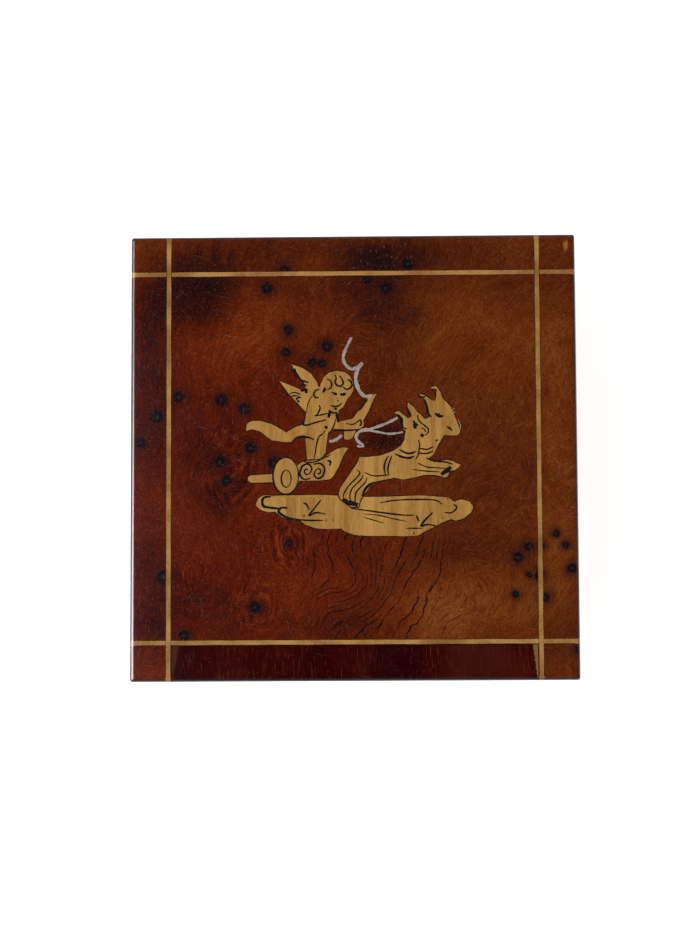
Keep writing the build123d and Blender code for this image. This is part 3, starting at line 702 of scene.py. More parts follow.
        grain = cls.fibres(graph, curled, bent)
        cloud = graph.centred(graph.noise(bent, 0.055, 2.0, 0.5, flat=True))
        mottle = graph.centred(graph.noise(curled, 0.40, 4.0, 0.6, flat=True))
        crumbs = graph.centred(graph.noise(curled, 1.7, 2.0, 0.6, flat=True))
        zones = graph.times(cls.clouds(graph, graph.vector("ADD", place, close)), top)
        tone = graph.times_add(cloud, 0.30, given["Tone"])
        tone = graph.times_add(mottle, 0.20, tone)
        tone = graph.times_add(grain, 0.24, tone)
        tone = graph.times_add(crumbs, 0.30, tone)
        tone = graph.times_add(cls.rings(graph, near, bent, not_top), 0.85, tone)
        tone = graph.add(tone, zones)
        flame = cls.flames(graph, place, bent, close, top)
        tone = graph.subtract(tone, graph.times(flame, 0.42))
        colour = cls.stained(graph, place, top, tone, cls.knots(graph, near, top, not_top))

        dash = graph.noise(graph.turned(bent, -50.0, (0.8, 5.0, 1.0)), 1.0, 2.0, flat=True)
        pores = graph.step(dash, 0.60, 0.72)
        colour = graph.mix(graph.times(pores, 0.55), colour, cls.pore_colour)
        flecks = graph.noise(graph.turned(bent, -56.0, (0.9, 4.2, 1.0)), 1.0, 2.0, flat=True)
        flecks = graph.times(graph.step(flecks, 0.62, 0.80), 0.34)
        colour = graph.mix(flecks, colour, cls.fleck_colour)
        height = graph.subtract(grain, graph.times(pores, 0.5))
        return {"Color": colour, "Height": height}


class StraightGrain(NodeGroup):
    """Long straight fibres along one axis, with softer growth bands."""

    title = "Straight grain"
    inputs = {"Place": (Kind.VECTOR, None), "Along": (Kind.VECTOR, (0.05, 1.2, 1.2))}
    outputs = {"Fibre": Kind.NUMBER, "Band": Kind.NUMBER}

    @classmethod
    def fill(cls, graph: Graph, given: Sockets) -> dict[str, Socket]:
        """Adds the group's nodes.

        Args:
            graph: the group's graph.
            given: the group's inputs by name.

        Returns:
            The outputs by name.
        """
        stretched = graph.vector("MULTIPLY", given["Place"], given["Along"])
        fibre = graph.noise(stretched, 2.6, 4.0, 0.65)
        band = graph.noise(stretched, 0.32, 2.0, 0.5)
        return {"Fibre": fibre, "Band": band}


class HandlingWear(NodeGroup):
    """Fine scratches, dust specks and smears in the lacquer."""

    title = "Handling wear"
    inputs = {"Place": (Kind.VECTOR, None), "Amount": (Kind.NUMBER, 1.0)}
    outputs = {
        "Specks": Kind.NUMBER,
        "Scratches": Kind.NUMBER,
        "Smears": Kind.NUMBER,
        "Height": Kind.NUMBER,
    }

    @classmethod
    def fill(cls, graph: Graph, given: Sockets) -> dict[str, Socket]:
        """Adds the group's nodes.

        Args:
            graph: the group's graph.
            given: the group's inputs by name.

        Returns:
            The outputs by name.
        """
        place, amount = given["Place"], given["Amount"]
        total = None
        for angle, offset in ((12.0, 3.0), (81.0, 17.0), (128.0, 41.0)):
            moved = graph.vector("ADD", place, (offset, offset, 0.0))
            run = graph.turned(moved, angle, (0.10, 5.5, 1.0))
            mark = graph.step(graph.noise(run, 1.0, 1.0, flat=True), 0.79, 0.85)
            total = mark if total is None else graph.math("MAXIMUM", total, mark)
        scratches = graph.times(total, amount)
        specks = graph.step(graph.noise(place, 2.3, 2.0, 0.6, flat=True), 0.72, 0.80)
        specks = graph.times(specks, amount)
        smears = graph.noise(place, 0.09, 2.0, 0.6, flat=True)
        ripple = graph.noise(place, 0.35, 1.0, flat=True)
        height = graph.times_add(scratches, -0.25, graph.times(ripple, 0.5))
        return {"Specks": specks, "Scratches": scratches, "Smears": smears, "Height": height}


def new_material(name: str) -> tuple[bpy.types.Material, Graph, bpy.types.Node]:
    """Starts a material with an empty Principled surface.

    Args:
        name: the material's name.

    Returns:
        The material, its graph and its Principled node.
    """
    material = bpy.data.materials.new(name)
    material.use_nodes = True
    graph = Graph(material.node_tree)
    return material, graph, material.node_tree.nodes["Principled BSDF"]


def bump(graph: Graph, height: Socket, depth_mm: float, strength: float = 1.0) -> Socket:
    """Turns a height into a normal.

    Args:
        graph: the material's graph.
        height: the height, from about 0 to 1.
        depth_mm: how deep a height of 1 is.
        strength: the node's strength.

    Returns:
        The bumped normal.
    """
    made = graph.node("Bump")
    made.inputs["Strength"].default_value = strength
    made.inputs["Distance"].default_value = depth_mm * MM
    graph.feed(made.inputs["Height"], height)
    return made.outputs[0]


@dataclass(frozen=True)
class Lacquer:
    """Gloss lacquer over wood: how glossy it is, how worn, and how much shade is painted on its rounded
    edges.
    """

    roughness: float = 0.10
    haze: float = 0.10
    wear: float = 1.0
    depth_mm: float = 0.012
    # Strength of the shade painted on the rounded edges.
    painted_edge_shade: float = 0.8
    smoothest: float = 0.06
    speck_colour: Colour = (0.34, 0.26, 0.20)
    scratch_colour: Colour = (0.34, 0.25, 0.19)
    # Tint of the shade painted on the rounded edges.
    painted_shade_tint: Colour = (0.16, 0.12, 0.16)

    def apply(
        self,
        graph: Graph,
        shader: bpy.types.Node,
        plane: bpy.types.Node,
        colour: Socket,
        grain: Socket,
    ) -> None:
        """Finishes a wood colour with worn lacquer and with shade painted on the rounded edges.

        Args:
            graph: the material's graph.
            shader: its Principled node.
            plane: its Veneer plane group.
            colour: the wood's colour.
            grain: the wood's height.
        """
        worn = graph.use(HandlingWear.tree(), Place=plane.outputs["Place"], Amount=self.wear)
        pale = graph.times(worn.outputs["Specks"], 0.26)
        colour = graph.mix(pale, colour, self.speck_colour)
        line = graph.times(worn.outputs["Scratches"], 0.09)
        colour = graph.mix(line, colour, self.scratch_colour)
        # Painted shade: the colour is darkened on the rounded edges, where the surface turns away from the
        # light.
        rim = graph.times(plane.outputs["Rim"], self.painted_edge_shade)
        colour = graph.mix(rim, colour, graph.mix(1.0, colour, self.painted_shade_tint, "MULTIPLY"))
        graph.feed(shader.inputs["Base Color"], colour)
        rough = graph.times_add(graph.centred(worn.outputs["Smears"]), self.haze, self.roughness)
        rough = graph.times_add(worn.outputs["Scratches"], 0.25, rough)
        rough = graph.math("MAXIMUM", rough, self.smoothest)
        graph.feed(shader.inputs["Roughness"], rough)
        height = graph.times_add(grain, 0.5, worn.outputs["Height"])
        graph.feed(shader.inputs["Normal"], bump(graph, height, self.depth_mm))


@dataclass(frozen=True)
class BurlFinish:
    """Lacquered burl veneer."""

    name: str
    tone: float = 0.0
    lacquer: Lacquer = Lacquer()

    def material(self) -> bpy.types.Material:
        """Builds the material.

        Returns:
            The new material.
        """
        material, graph, shader = new_material(self.name)
        plane = graph.use(VeneerPlane.tree())
        sheet = plane.outputs
        burl = graph.use(BurlFigure.tree(), Place=sheet["Place"], Top=sheet["Top"], Tone=self.tone)
        self.lacquer.apply(graph, shader, plane, burl.outputs["Color"], burl.outputs["Height"])
        return material


@dataclass(frozen=True)
class StrapWood:
    """Lacquered light wood with fine straight grain, for the picture's pieces."""

    name: str
    dark: Colour
    light: Colour
    along: tuple[float, float, float]
    patches: float = 0.0
    lacquer: Lacquer = Lacquer(roughness=0.16, wear=0.6)

    def material(self) -> bpy.types.Material:
        """Builds the material.

        Returns:
            The new material.
        """
        material, graph, shader = new_material(self.name)
        place = graph.millimetres()
        grain = graph.use(StraightGrain.tree(), Place=place, Along=self.along)
        shade = graph.times_add(grain.outputs["Band"], 0.45, graph.times(grain.outputs["Fibre"], 0.55))
        if self.patches:
            blocks = graph.vector("MULTIPLY", place, (0.42, 0.05, 0.0))
            block = graph.noise(graph.vector("SNAP", blocks, (0.5, 0.5, 0.5)), 3.7, 0.0)
            shade = graph.times_add(graph.centred(block), self.patches, shade)
        colour = graph.mix(graph.step(shade, 0.15, 0.85), self.dark, self.light)
        self.lacquer.apply(graph, shader, graph.use(VeneerPlane.tree()), colour, grain.outputs["Fibre"])
        return material


@dataclass(frozen=True)
class StringingFinish:
    """Lacquered boxwood stringing, with fine grain and slowly changing colour."""

    name: str = "stringing"
    dark: Colour = (0.26, 0.113, 0.028)
    light: Colour = (0.48, 0.250, 0.078)
    # The stringing gets weaker painted shade on its rounded edges.
    lacquer: Lacquer = Lacquer(wear=0.5, painted_edge_shade=0.35)

    def material(self) -> bpy.types.Material:
        """Builds the material.

        Returns:
            The new material.
        """
        material, graph, shader = new_material(self.name)
        place = graph.millimetres()
        fine = graph.noise(place, 1.9, 4.0, 0.65)
        slow = graph.noise(place, 0.16, 2.0)
        shade = graph.times_add(slow, 0.6, graph.times(fine, 0.4))
        colour = graph.mix(graph.step(shade, 0.34, 0.66), self.dark, self.light)
        self.lacquer.apply(graph, shader, graph.use(VeneerPlane.tree()), colour, fine)
        return material


@dataclass(frozen=True)
class CapFinish:
    """The front panel's cap: dark stained veneer with upright scratches, worn pale at its two ends."""

    name: str = "front_cap"
    lacquer: Lacquer = Lacquer(wear=0.7)
    half_length: float = 44.7
    front: float = 55.0
    dark_place: float = 9.0
    glow_place: float = 30.0
    tones: tuple[tuple[float, Colour], ...] = (
        (0.30, (0.010, 0.0003, 0.0006)),
        (0.52, (0.028, 0.0003, 0.0006)),
        (0.68, (0.046, 0.0026, 0.0016)),
        (0.85, (0.085, 0.0130, 0.0050)),
    )

    def material(self) -> bpy.types.Material:
        """Builds the material.

        Returns:
            The new material.
        """
        material, graph, shader = new_material(self.name)
        place = graph.millimetres()
        x, y, _ = graph.parts(place)
        grain = graph.use(StraightGrain.tree(), Place=place, Along=(1.6, 0.10, 0.10))
        band = graph.noise(graph.vector("MULTIPLY", place, (0.09, 0.05, 0.05)), 1.0, 3.0)
        shade = graph.times_add(grain.outputs["Fibre"], 0.55, graph.times(band, 0.6))
        colour = graph.ramp(shade, self.tones)
        streaks = graph.noise(graph.vector("MULTIPLY", place, (5.5, 0.30, 0.3)), 1.0, 2.0)
        streaks = graph.times(graph.step(streaks, 0.61, 0.74), 0.36)
        colour = graph.mix(streaks, colour, (0.22, 0.075, 0.030))
        middle = graph.math("ABSOLUTE", graph.subtract(x, self.dark_place))
        colour = graph.mix(graph.step(middle, 2.0, 11.0, 0.55, 0.0), colour, (0.012, 0.0010, 0.0022))
        glow = graph.math("ABSOLUTE", graph.subtract(x, self.glow_place))
        colour = graph.mix(graph.step(glow, 3.0, 11.0, 0.40, 0.0), colour, (0.070, 0.0135, 0.0055))
        slope = graph.times_add(graph.add(y, self.front), 0.14, 0.10)
        ragged = graph.times(graph.centred(graph.noise(place, 1.4, 3.0)), 0.9)
        reach = graph.add(slope, ragged)
        right_gap = graph.subtract(self.half_length, x)
        right = graph.step(graph.subtract(right_gap, reach), -0.12, 0.12, 1.0, 0.0)
        colour = graph.mix(graph.times(right, 0.85), colour, (0.26, 0.125, 0.042))
        left_gap = graph.add(x, self.half_length)
        left = graph.step(graph.subtract(left_gap, graph.times(reach, 1.1)), -0.3, 0.5, 1.0, 0.0)
        colour = graph.mix(graph.times(left, 0.6), colour, (0.075, 0.028, 0.010))
        self.lacquer.apply(graph, shader, graph.use(VeneerPlane.tree()), colour, grain.outputs["Fibre"])
        return material


@dataclass(frozen=True)
class TimberFinish:
    """Waxed solid timber for the box's carcase and the drawer."""

    name: str
    dark: Colour
    light: Colour
    along: tuple[float, float, float] = (0.06, 1.0, 1.0)
    roughness: float = 0.48

    def material(self) -> bpy.types.Material:
        """Builds the material.

        Returns:
            The new material.
        """
        material, graph, shader = new_material(self.name)
        place = graph.millimetres()
        warped = graph.vector("ADD", place, graph.shift(place, 0.06, 1.0, 4.0))
        grain = graph.use(StraightGrain.tree(), Place=warped, Along=self.along)
        shade = graph.times_add(grain.outputs["Band"], 0.7, graph.times(grain.outputs["Fibre"], 0.3))
        colour = graph.mix(graph.step(shade, 0.32, 0.68), self.dark, self.light)
        pores = graph.noise(graph.vector("MULTIPLY", warped, self.along), 6.5, 2.0)
        pores = graph.step(pores, 0.63, 0.74)
        colour = graph.mix(graph.times(pores, 0.45), colour, tuple(0.4 * c for c in self.dark))
        graph.feed(shader.inputs["Base Color"], colour)
        rough = graph.times_add(grain.outputs["Fibre"], 0.2, self.roughness - 0.1)
        graph.feed(shader.inputs["Roughness"], rough)
        height = graph.subtract(grain.outputs["Fibre"], pores)
        graph.feed(shader.inputs["Normal"], bump(graph, height, 0.05))
        return material


@dataclass(frozen=True)
class ClothFinish:
    """Short-piled velvet or felt."""

    name: str
    dark: Colour
    light: Colour
    sheen: float = 0.6
    pile: float = 3.0

    def material(self) -> bpy.types.Material:
        """Builds the material.

        Returns:
            The new material.
        """
        material, graph, shader = new_material(self.name)
        place = graph.millimetres()
        brushed = graph.noise(place, 0.07, 2.0, 0.5)
        tufts = graph.noise(place, self.pile, 4.0, 0.7)
        shade = graph.times_add(brushed, 0.35, graph.times(tufts, 0.65))
        colour = graph.mix(graph.step(shade, 0.30, 0.74), self.dark, self.light)
        graph.feed(shader.inputs["Base Color"], colour)
        graph.feed(shader.inputs["Roughness"], graph.times_add(tufts, 0.15, 0.80))
        shader.inputs["Sheen Weight"].default_value = self.sheen
        shader.inputs["Sheen Roughness"].default_value = 0.35
        shader.inputs["Sheen Tint"].default_value = (*(min(1.0, 2.5 * c + 0.1) for c in self.light), 1.0)
        graph.feed(shader.inputs["Normal"], bump(graph, tufts, 0.25))
        return material


@dataclass(frozen=True)
class MetalFinish:
    """Brass, steel or pewter with fine filing marks and a tarnish."""

    name: str
    bright: Colour
    tarnish: Colour
    roughness: float = 0.26
    filing: tuple[float, float, float] = (0.3, 6.0, 6.0)
    metallic: float = 1.0

    def material(self) -> bpy.types.Material:
        """Builds the material.

        Returns:
            The new material.
        """
        material, graph, shader = new_material(self.name)
        place = graph.millimetres()
        stain = graph.noise(place, 0.28, 5.0, 0.65)
        marks = graph.noise(graph.vector("MULTIPLY", place, self.filing), 1.0, 3.0, 0.6)
        spots = graph.step(graph.noise(place, 1.7, 3.0, 0.7), 0.60, 0.78)
        worn = graph.add(graph.step(stain, 0.38, 0.72, 0.0, 0.75), graph.times(spots, 0.25))
        graph.feed(shader.inputs["Base Color"], graph.mix(worn, self.bright, self.tarnish))
        shader.inputs["Metallic"].default_value = self.metallic
        rough = graph.times_add(worn, 0.22, self.roughness)
        rough = graph.times_add(graph.centred(marks), 0.18, rough)
        graph.feed(shader.inputs["Roughness"], rough)
        graph.feed(shader.inputs["Normal"], bump(graph, marks, 0.012))
        return material


@dataclass(frozen=True)
class InkFinish:
    """Black drawing ink, or dark glue, under the lacquer."""

    name: str = "ink"
    dark: Colour = (0.006, 0.005, 0.006)
    light: Colour = (0.030, 0.020, 0.014)

    def material(self) -> bpy.types.Material:
        """Builds the material.

        Returns:
            The new material.
        """
        material, graph, shader = new_material(self.name)
        place = graph.millimetres()
        shade = graph.noise(place, 2.4, 4.0, 0.7)
        colour = graph.mix(graph.step(shade, 0.45, 0.80), self.dark, self.light)
        graph.feed(shader.inputs["Base Color"], colour)
        graph.feed(shader.inputs["Roughness"], graph.times_add(shade, 0.2, 0.10))
        graph.feed(shader.inputs["Normal"], bump(graph, shade, 0.01))
        return material


# ---- Mesh building ----


def smooth_path(points: Sequence[Point], per_span: int = 7) -> list[Vector]:
    """Runs a smooth curve through a few points.

    Args:
        points: the points, in millimetres.
        per_span: how many pieces each span is cut into.

    Returns:
        Points along the curve, in millimetres.
    """
    if len(points) == 2:
        first, last = Vector(points[0]), Vector(points[1])
        return [first, first.lerp(last, 0.5), last]
    places = [Vector(point) for point in points]
    ends = [2 * places[0] - places[1], *places, 2 * places[-1] - places[-2]]
    path = []
    for before, start, end, after in zip(ends, ends[1:], ends[2:], ends[3:]):
        for index in range(per_span):
            t = index / per_span
            path.append(
                0.5
                * (
                    2 * start
                    + (end - before) * t
                    + (2 * before - 5 * start + 4 * end - after) * t**2
                    + (3 * start - before - 3 * end + after) * t**3
                )
            )
    return [*path, Vector(points[-1])]


@dataclass(frozen=True)
class Stroke:
    """One pen stroke or wire: points in millimetres from the lid's middle, and its widest width."""

    points: tuple[Point, ...]
    width: float = 0.30
    taper: float = 0.75


@dataclass
class Ribbon:
    """Builds flat closed strips on the lid's face."""

    surface: float
    proud: float = 0.012
    sunk: float = 0.10
    layer: float = 0.004
    layers: int = 3
    blunt_end: float = 0.08
    swelling: float = 0.6

    def strip(
        self,
        mesh: bmesh.types.BMesh,
        path: Sequence[Vector],
        widths: Sequence[float],
        closed: bool = False,
    ) -> None:
        """Adds one strip.

        Args:
            mesh: where to add it.
            path: its middle line, in millimetres.
            widths: its width at each point, in millimetres.
            closed: joins its end to its start.
        """
        rings = []
        count = len(path)
        for index, (point, width) in enumerate(zip(path, widths)):
            before = path[index - 1] if closed or index else path[0]
            after = path[(index + 1) % count] if closed or index < count - 1 else path[-1]
            along = (after - before).normalized() if (after - before).length > 1e-9 else Vector((1.0, 0.0))
            across = Vector((-along.y, along.x)) * width / 2
            ring = []
            for side, height in ((-1, -self.sunk), (1, -self.sunk), (1, self.proud), (-1, self.proud)):
                flat = point + side * across
                ring.append(mesh.verts.new((flat.x * MM, flat.y * MM, self.surface + height * MM)))
            rings.append(ring)
        pairs = list(zip(rings, rings[1:])) + ([(rings[-1], rings[0])] if closed else [])
        for first, second in pairs:
            for index in range(4):
                other = (index + 1) % 4
                mesh.faces.new((first[index], first[other], second[other], second[index]))
        if not closed:
            mesh.faces.new(rings[0][::-1])
            mesh.faces.new(rings[-1])

    def strokes(
        self,
        mesh: bmesh.types.BMesh,
        strokes: Iterable[Stroke],
        weight: float = 1.0,
        wobble: float = 0.08,
    ) -> None:
        """Adds pen strokes that swell in the middle and waver a little.

        Args:
            mesh: where to add them.
            strokes: the strokes.
            weight: makes every stroke wider.
            wobble: how far the width wavers, as a share.
        """
        low = self.proud
        for number, stroke in enumerate(strokes):
            self.proud = low + self.layer * (number % self.layers)
            path = smooth_path(stroke.points)
            last = len(path) - 1
            widths = []
            for index in range(last + 1):
                along = self.blunt_end + (1 - 2 * self.blunt_end) * index / last
                swell = math.sin(math.pi * along) ** self.swelling
                quick = math.sin(1.9 * index + 2.3 * number)
                slow = math.sin(0.7 * index + number)
                waver = 1 + wobble * quick + wobble * slow
                widths.append(weight * stroke.width * (1 - stroke.taper + stroke.taper * swell) * waver)
            self.strip(mesh, path, widths)
        self.proud = low


def finish_mesh(
    mesh: bmesh.types.BMesh, name: str, material: bpy.types.Material, body: str
) -> bpy.types.Object:
    """Turns a bmesh into a piece of the object.

    Args:
        mesh: the mesh, which is freed.
        name: the piece's name.
        material: its finish.
        body: the body it moves with.

    Returns:
        The new object.
    """
    bmesh.ops.recalc_face_normals(mesh, faces=mesh.faces)
    data = bpy.data.meshes.new(name)
    mesh.to_mesh(data)
    mesh.free()
    piece = bpy.data.objects.new(name, data)
    bpy.context.scene.collection.objects.link(piece)
    data.materials.append(material)
    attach(piece, body)
    log.info("%s: %d vertices", name, len(data.vertices))
    return piece


def dress(nodes: Iterable[str], material: bpy.types.Material) -> None:
    """Gives CAD pieces a finish.

    Args:
        nodes: the pieces' names.
        material: the finish.
    """
    for name in nodes:
        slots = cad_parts[name].material_slots
        for slot in slots:
            slot.material = material
        log.info("%s is finished in %s", name, material.name)


# ---- The lid's picture ----

CHILD_INK = (
    Stroke(((-6.5, 19.2), (-5.6, 18.7), (-5.3, 17.6), (-5.8, 16.8), (-6.5, 16.6)), 0.24),
    Stroke(
        (
            (-4.5, 20.2), (-4.2, 19.4), (-4.5, 18.4), (-4.0, 17.6),
            (-3.1, 17.4), (-2.5, 18.1), (-2.8, 19.2), (-3.4, 20.0),
        ),
    ),
    Stroke(((-2.6, 17.2), (-1.7, 16.6), (-0.8, 16.9), (-0.3, 17.7), (-0.7, 18.7), (-1.5, 19.0))),
    Stroke(((-7.0, 17.1), (-7.1, 16.5), (-7.5, 15.8)), 0.40),
    Stroke(((-8.3, 16.7), (-9.3, 16.3), (-9.7, 15.4), (-9.3, 14.6), (-8.5, 14.6)), 0.28),
    Stroke(((-10.0, 15.2), (-11.1, 13.3), (-11.6, 10.6)), 0.14),
    Stroke(((-5.5, 15.7), (-4.9, 15.8), (-4.1, 15.6)), 0.18),
    Stroke(((-4.9, 15.5), (-4.4, 15.45), (-4.0, 15.5)), 0.38, 0.4),
    Stroke(((-3.2, 15.35), (-2.5, 15.3), (-1.8, 15.6)), 0.40, 0.4),
    Stroke(((-4.0, 14.5), (-3.9, 14.3)), 0.20, 0.4),
    Stroke(((-3.9, 13.8), (-3.6, 13.7)), 0.30, 0.4),
    Stroke(((-5.6, 12.7), (-4.8, 12.4), (-3.7, 12.5), (-2.9, 13.2)), 0.24),
    Stroke(((-4.3, 12.1), (-4.5, 11.5)), 0.48, 0.3),
    Stroke(((-6.1, 11.5), (-5.1, 10.8), (-4.0, 10.9)), 0.26),
    Stroke(((-8.5, 12.7), (-8.2, 11.9), (-8.9, 10.4), (-9.6, 10.0)), 0.24),
    Stroke(((-9.6, 10.0), (-7.9, 10.3), (-6.3, 10.7)), 0.22),
    Stroke(((-5.8, 11.2), (-6.0, 10.3), (-6.1, 9.6)), 0.42, 0.4),
    Stroke(((-12.5, 9.4), (-12.4, 8.0), (-11.4, 7.8), (-9.4, 8.4), (-6.7, 9.1)), 0.26),
    Stroke(((-4.2, 10.7), (-3.9, 9.4), (-3.7, 8.4)), 0.42, 0.5),
    Stroke(((-6.7, 7.6), (-6.8, 6.8)), 0.42, 0.3),
    Stroke(((-6.9, 6.4), (-7.7, 5.5), (-8.5, 4.9), (-9.1, 3.0), (-9.4, 1.2), (-9.7, -0.6)), 0.22),
    Stroke(((-4.4, 9.4), (-4.7, 7.9), (-5.5, 6.3), (-6.1, 5.5)), 0.20),
    Stroke(((-14.6, 4.2), (-13.3, 4.8), (-11.4, 4.8), (-9.7, 4.2)), 0.32),
    Stroke(((-1.9, 8.2), (-0.1, 7.9), (1.3, 8.8), (1.8, 9.1)), 0.20),
    Stroke(((1.8, 9.0), (1.9, 7.9), (1.5, 7.6)), 0.30),
    Stroke(((-4.9, 6.3), (-2.6, 6.4), (-0.1, 6.5), (2.1, 6.6)), 0.26),
    Stroke(((3.5, 14.1), (2.5, 12.8), (1.4, 11.3))),
    Stroke(((-14.5, 21.9), (-13.9, 20.5), (-13.0, 19.1), (-12.0, 18.6), (-11.0, 18.4)), 0.32),
    Stroke(((-14.9, 22.7), (-15.0, 21.7), (-14.5, 20.4), (-13.8, 19.2)), 0.18),
    Stroke(((-13.3, 17.6), (-12.2, 17.8), (-11.2, 17.6)), 0.24),
    Stroke(((-13.0, 16.3), (-12.3, 16.4), (-11.7, 16.5)), 0.34),
    Stroke(((-11.6, 16.8), (-11.6, 15.7)), 0.46, 0.3),
    Stroke(((-15.7, 15.6), (-14.5, 15.9), (-12.9, 15.4)), 0.18),
    Stroke(((-15.4, 14.6), (-14.7, 15.1), (-13.3, 15.0)), 0.20),
    Stroke(((-14.1, 13.9), (-13.8, 14.5), (-12.8, 14.7)), 0.28),
    Stroke(((-13.8, 13.5), (-13.3, 13.9)), 0.34, 0.3),
    Stroke(((-16.4, 15.5), (-16.0, 15.1)), 0.30, 0.3),
)
CHARIOT_INK = (
    Stroke(
        (
            (-10.6, -5.3), (-12.2, -5.6), (-13.2, -4.4), (-12.7, -2.5),
            (-11.3, -1.8), (-10.3, -2.8), (-10.7, -4.1),
        ),
    ),
    Stroke(((-10.7, -4.1), (-11.6, -4.4), (-12.1, -3.7), (-11.6, -3.0), (-11.2, -3.4)), 0.24),
    Stroke(
        ((-9.8, -1.9), (-8.3, -1.7), (-7.2, -2.8), (-7.5, -4.6), (-8.7, -5.4), (-9.7, -4.6), (-9.4, -3.4)),
    ),
    Stroke(((-9.4, -3.4), (-8.6, -3.0), (-8.1, -3.6), (-8.5, -4.3), (-8.9, -4.0)), 0.24),
    Stroke(((-6.5, -1.0), (-5.7, -1.3), (-5.9, -2.3)), 0.32),
    Stroke(((-12.3, -1.3), (-10.1, -1.4), (-8.2, -0.9)), 0.22),
    Stroke(((-8.6, -0.9), (-7.0, -0.3), (-5.5, 0.5)), 0.16),
)
GOAT_INK = (
    Stroke(((10.7, 10.3), (11.6, 9.5), (11.9, 8.2), (12.1, 7.0)), 0.36),
    Stroke(((12.1, 7.0), (13.1, 6.7)), 0.22),
    Stroke(((13.1, 12.1), (13.6, 10.9), (14.2, 9.8)), 0.36),
    Stroke(((14.7, 8.7), (15.2, 7.9), (15.9, 7.5)), 0.40, 0.5),
    Stroke(((14.8, 7.9), (15.1, 7.1), (15.5, 6.9)), 0.42, 0.5),
    Stroke(
        ((15.9, 10.2), (15.8, 9.4), (16.5, 8.3), (17.6, 7.4), (18.4, 6.6), (18.2, 5.6), (17.5, 5.1)),
        0.22,
    ),
    Stroke(((16.7, 6.9), (17.5, 6.5), (17.7, 5.8)), 0.20),
    Stroke(((16.5, 5.4), (17.2, 4.8)), 0.50, 0.4),
    Stroke(((15.9, 4.0), (16.2, 2.9), (16.1, 1.8), (15.9, 0.4), (15.3, -0.8)), 0.22),
    Stroke(((11.2, 1.6), (13.0, 0.7), (14.2, 0.7), (15.3, 1.1)), 0.32),
    Stroke(((10.1, 0.6), (11.8, -0.2), (13.6, -0.5), (14.9, 0.0)), 0.32),
    Stroke(((8.6, 0.1), (7.8, -1.3), (7.5, -2.9), (7.8, -4.8)), 0.26),
    Stroke(((9.4, 0.1), (8.7, -1.7), (8.4, -3.3), (8.6, -4.6)), 0.26),
    Stroke(((2.7, -4.0), (4.7, -4.8), (7.0, -4.8), (8.8, -4.6)), 0.20),
    Stroke(((0.8, -3.4), (1.5, -4.0), (0.8, -5.2), (-1.0, -7.0), (-2.4, -9.1), (-2.6, -10.7)), 0.22),
    Stroke(((2.3, -4.6), (1.7, -5.8), (-0.4, -7.9), (-1.0, -9.9), (-0.8, -11.1)), 0.20),
    Stroke(((3.3, -5.2), (2.7, -6.6), (0.7, -8.7), (0.3, -10.7), (0.4, -12.0)), 0.22),
    Stroke(((4.1, -6.6), (2.7, -8.3), (2.1, -9.9)), 0.40),
    Stroke(((-2.8, -10.6), (-1.6, -11.3), (-0.4, -11.6), (1.0, -12.0)), 0.70, 0.4),
    Stroke(((17.8, -0.5), (19.8, -1.3), (22.3, -1.5), (24.3, -2.1)), 0.26),
    Stroke(((15.7, -1.7), (17.8, -2.7), (19.8, -2.9), (22.3, -3.1)), 0.20),
    Stroke(((14.3, -3.3), (17.8, -3.75), (21.0, -3.95)), 0.18),
    Stroke(((23.9, -2.8), (22.7, -3.7), (21.5, -4.6)), 0.64, 0.4),
    Stroke(((17.3, 14.0), (17.9, 12.8), (18.3, 11.1), (18.5, 10.3), (19.2, 9.6)), 0.32),
    Stroke(((15.9, 14.9), (16.7, 14.5), (17.8, 14.7)), 0.24),
    Stroke(((19.3, 16.4), (20.0, 16.4), (20.6, 16.0)), 0.24),
    Stroke(((20.2, 16.2), (20.3, 14.6)), 0.20),
    Stroke(((20.1, 10.5), (21.0, 9.8), (22.1, 9.8)), 0.42, 0.5),
    Stroke(((20.5, 9.7), (21.2, 10.5)), 0.34, 0.5),
    Stroke(((23.0, 7.3), (23.6, 6.8), (24.2, 6.2))),
    Stroke(((20.2, 3.9), (20.6, 3.7)), 0.32, 0.3),
    Stroke(((16.2, 1.9), (18.1, 1.6), (19.6, 2.3)), 0.24),
    Stroke(((15.9, 0.7), (17.9, 0.6), (19.6, 1.2)), 0.24),
    Stroke(((23.8, 12.3), (24.5, 12.6)), 0.14),
)
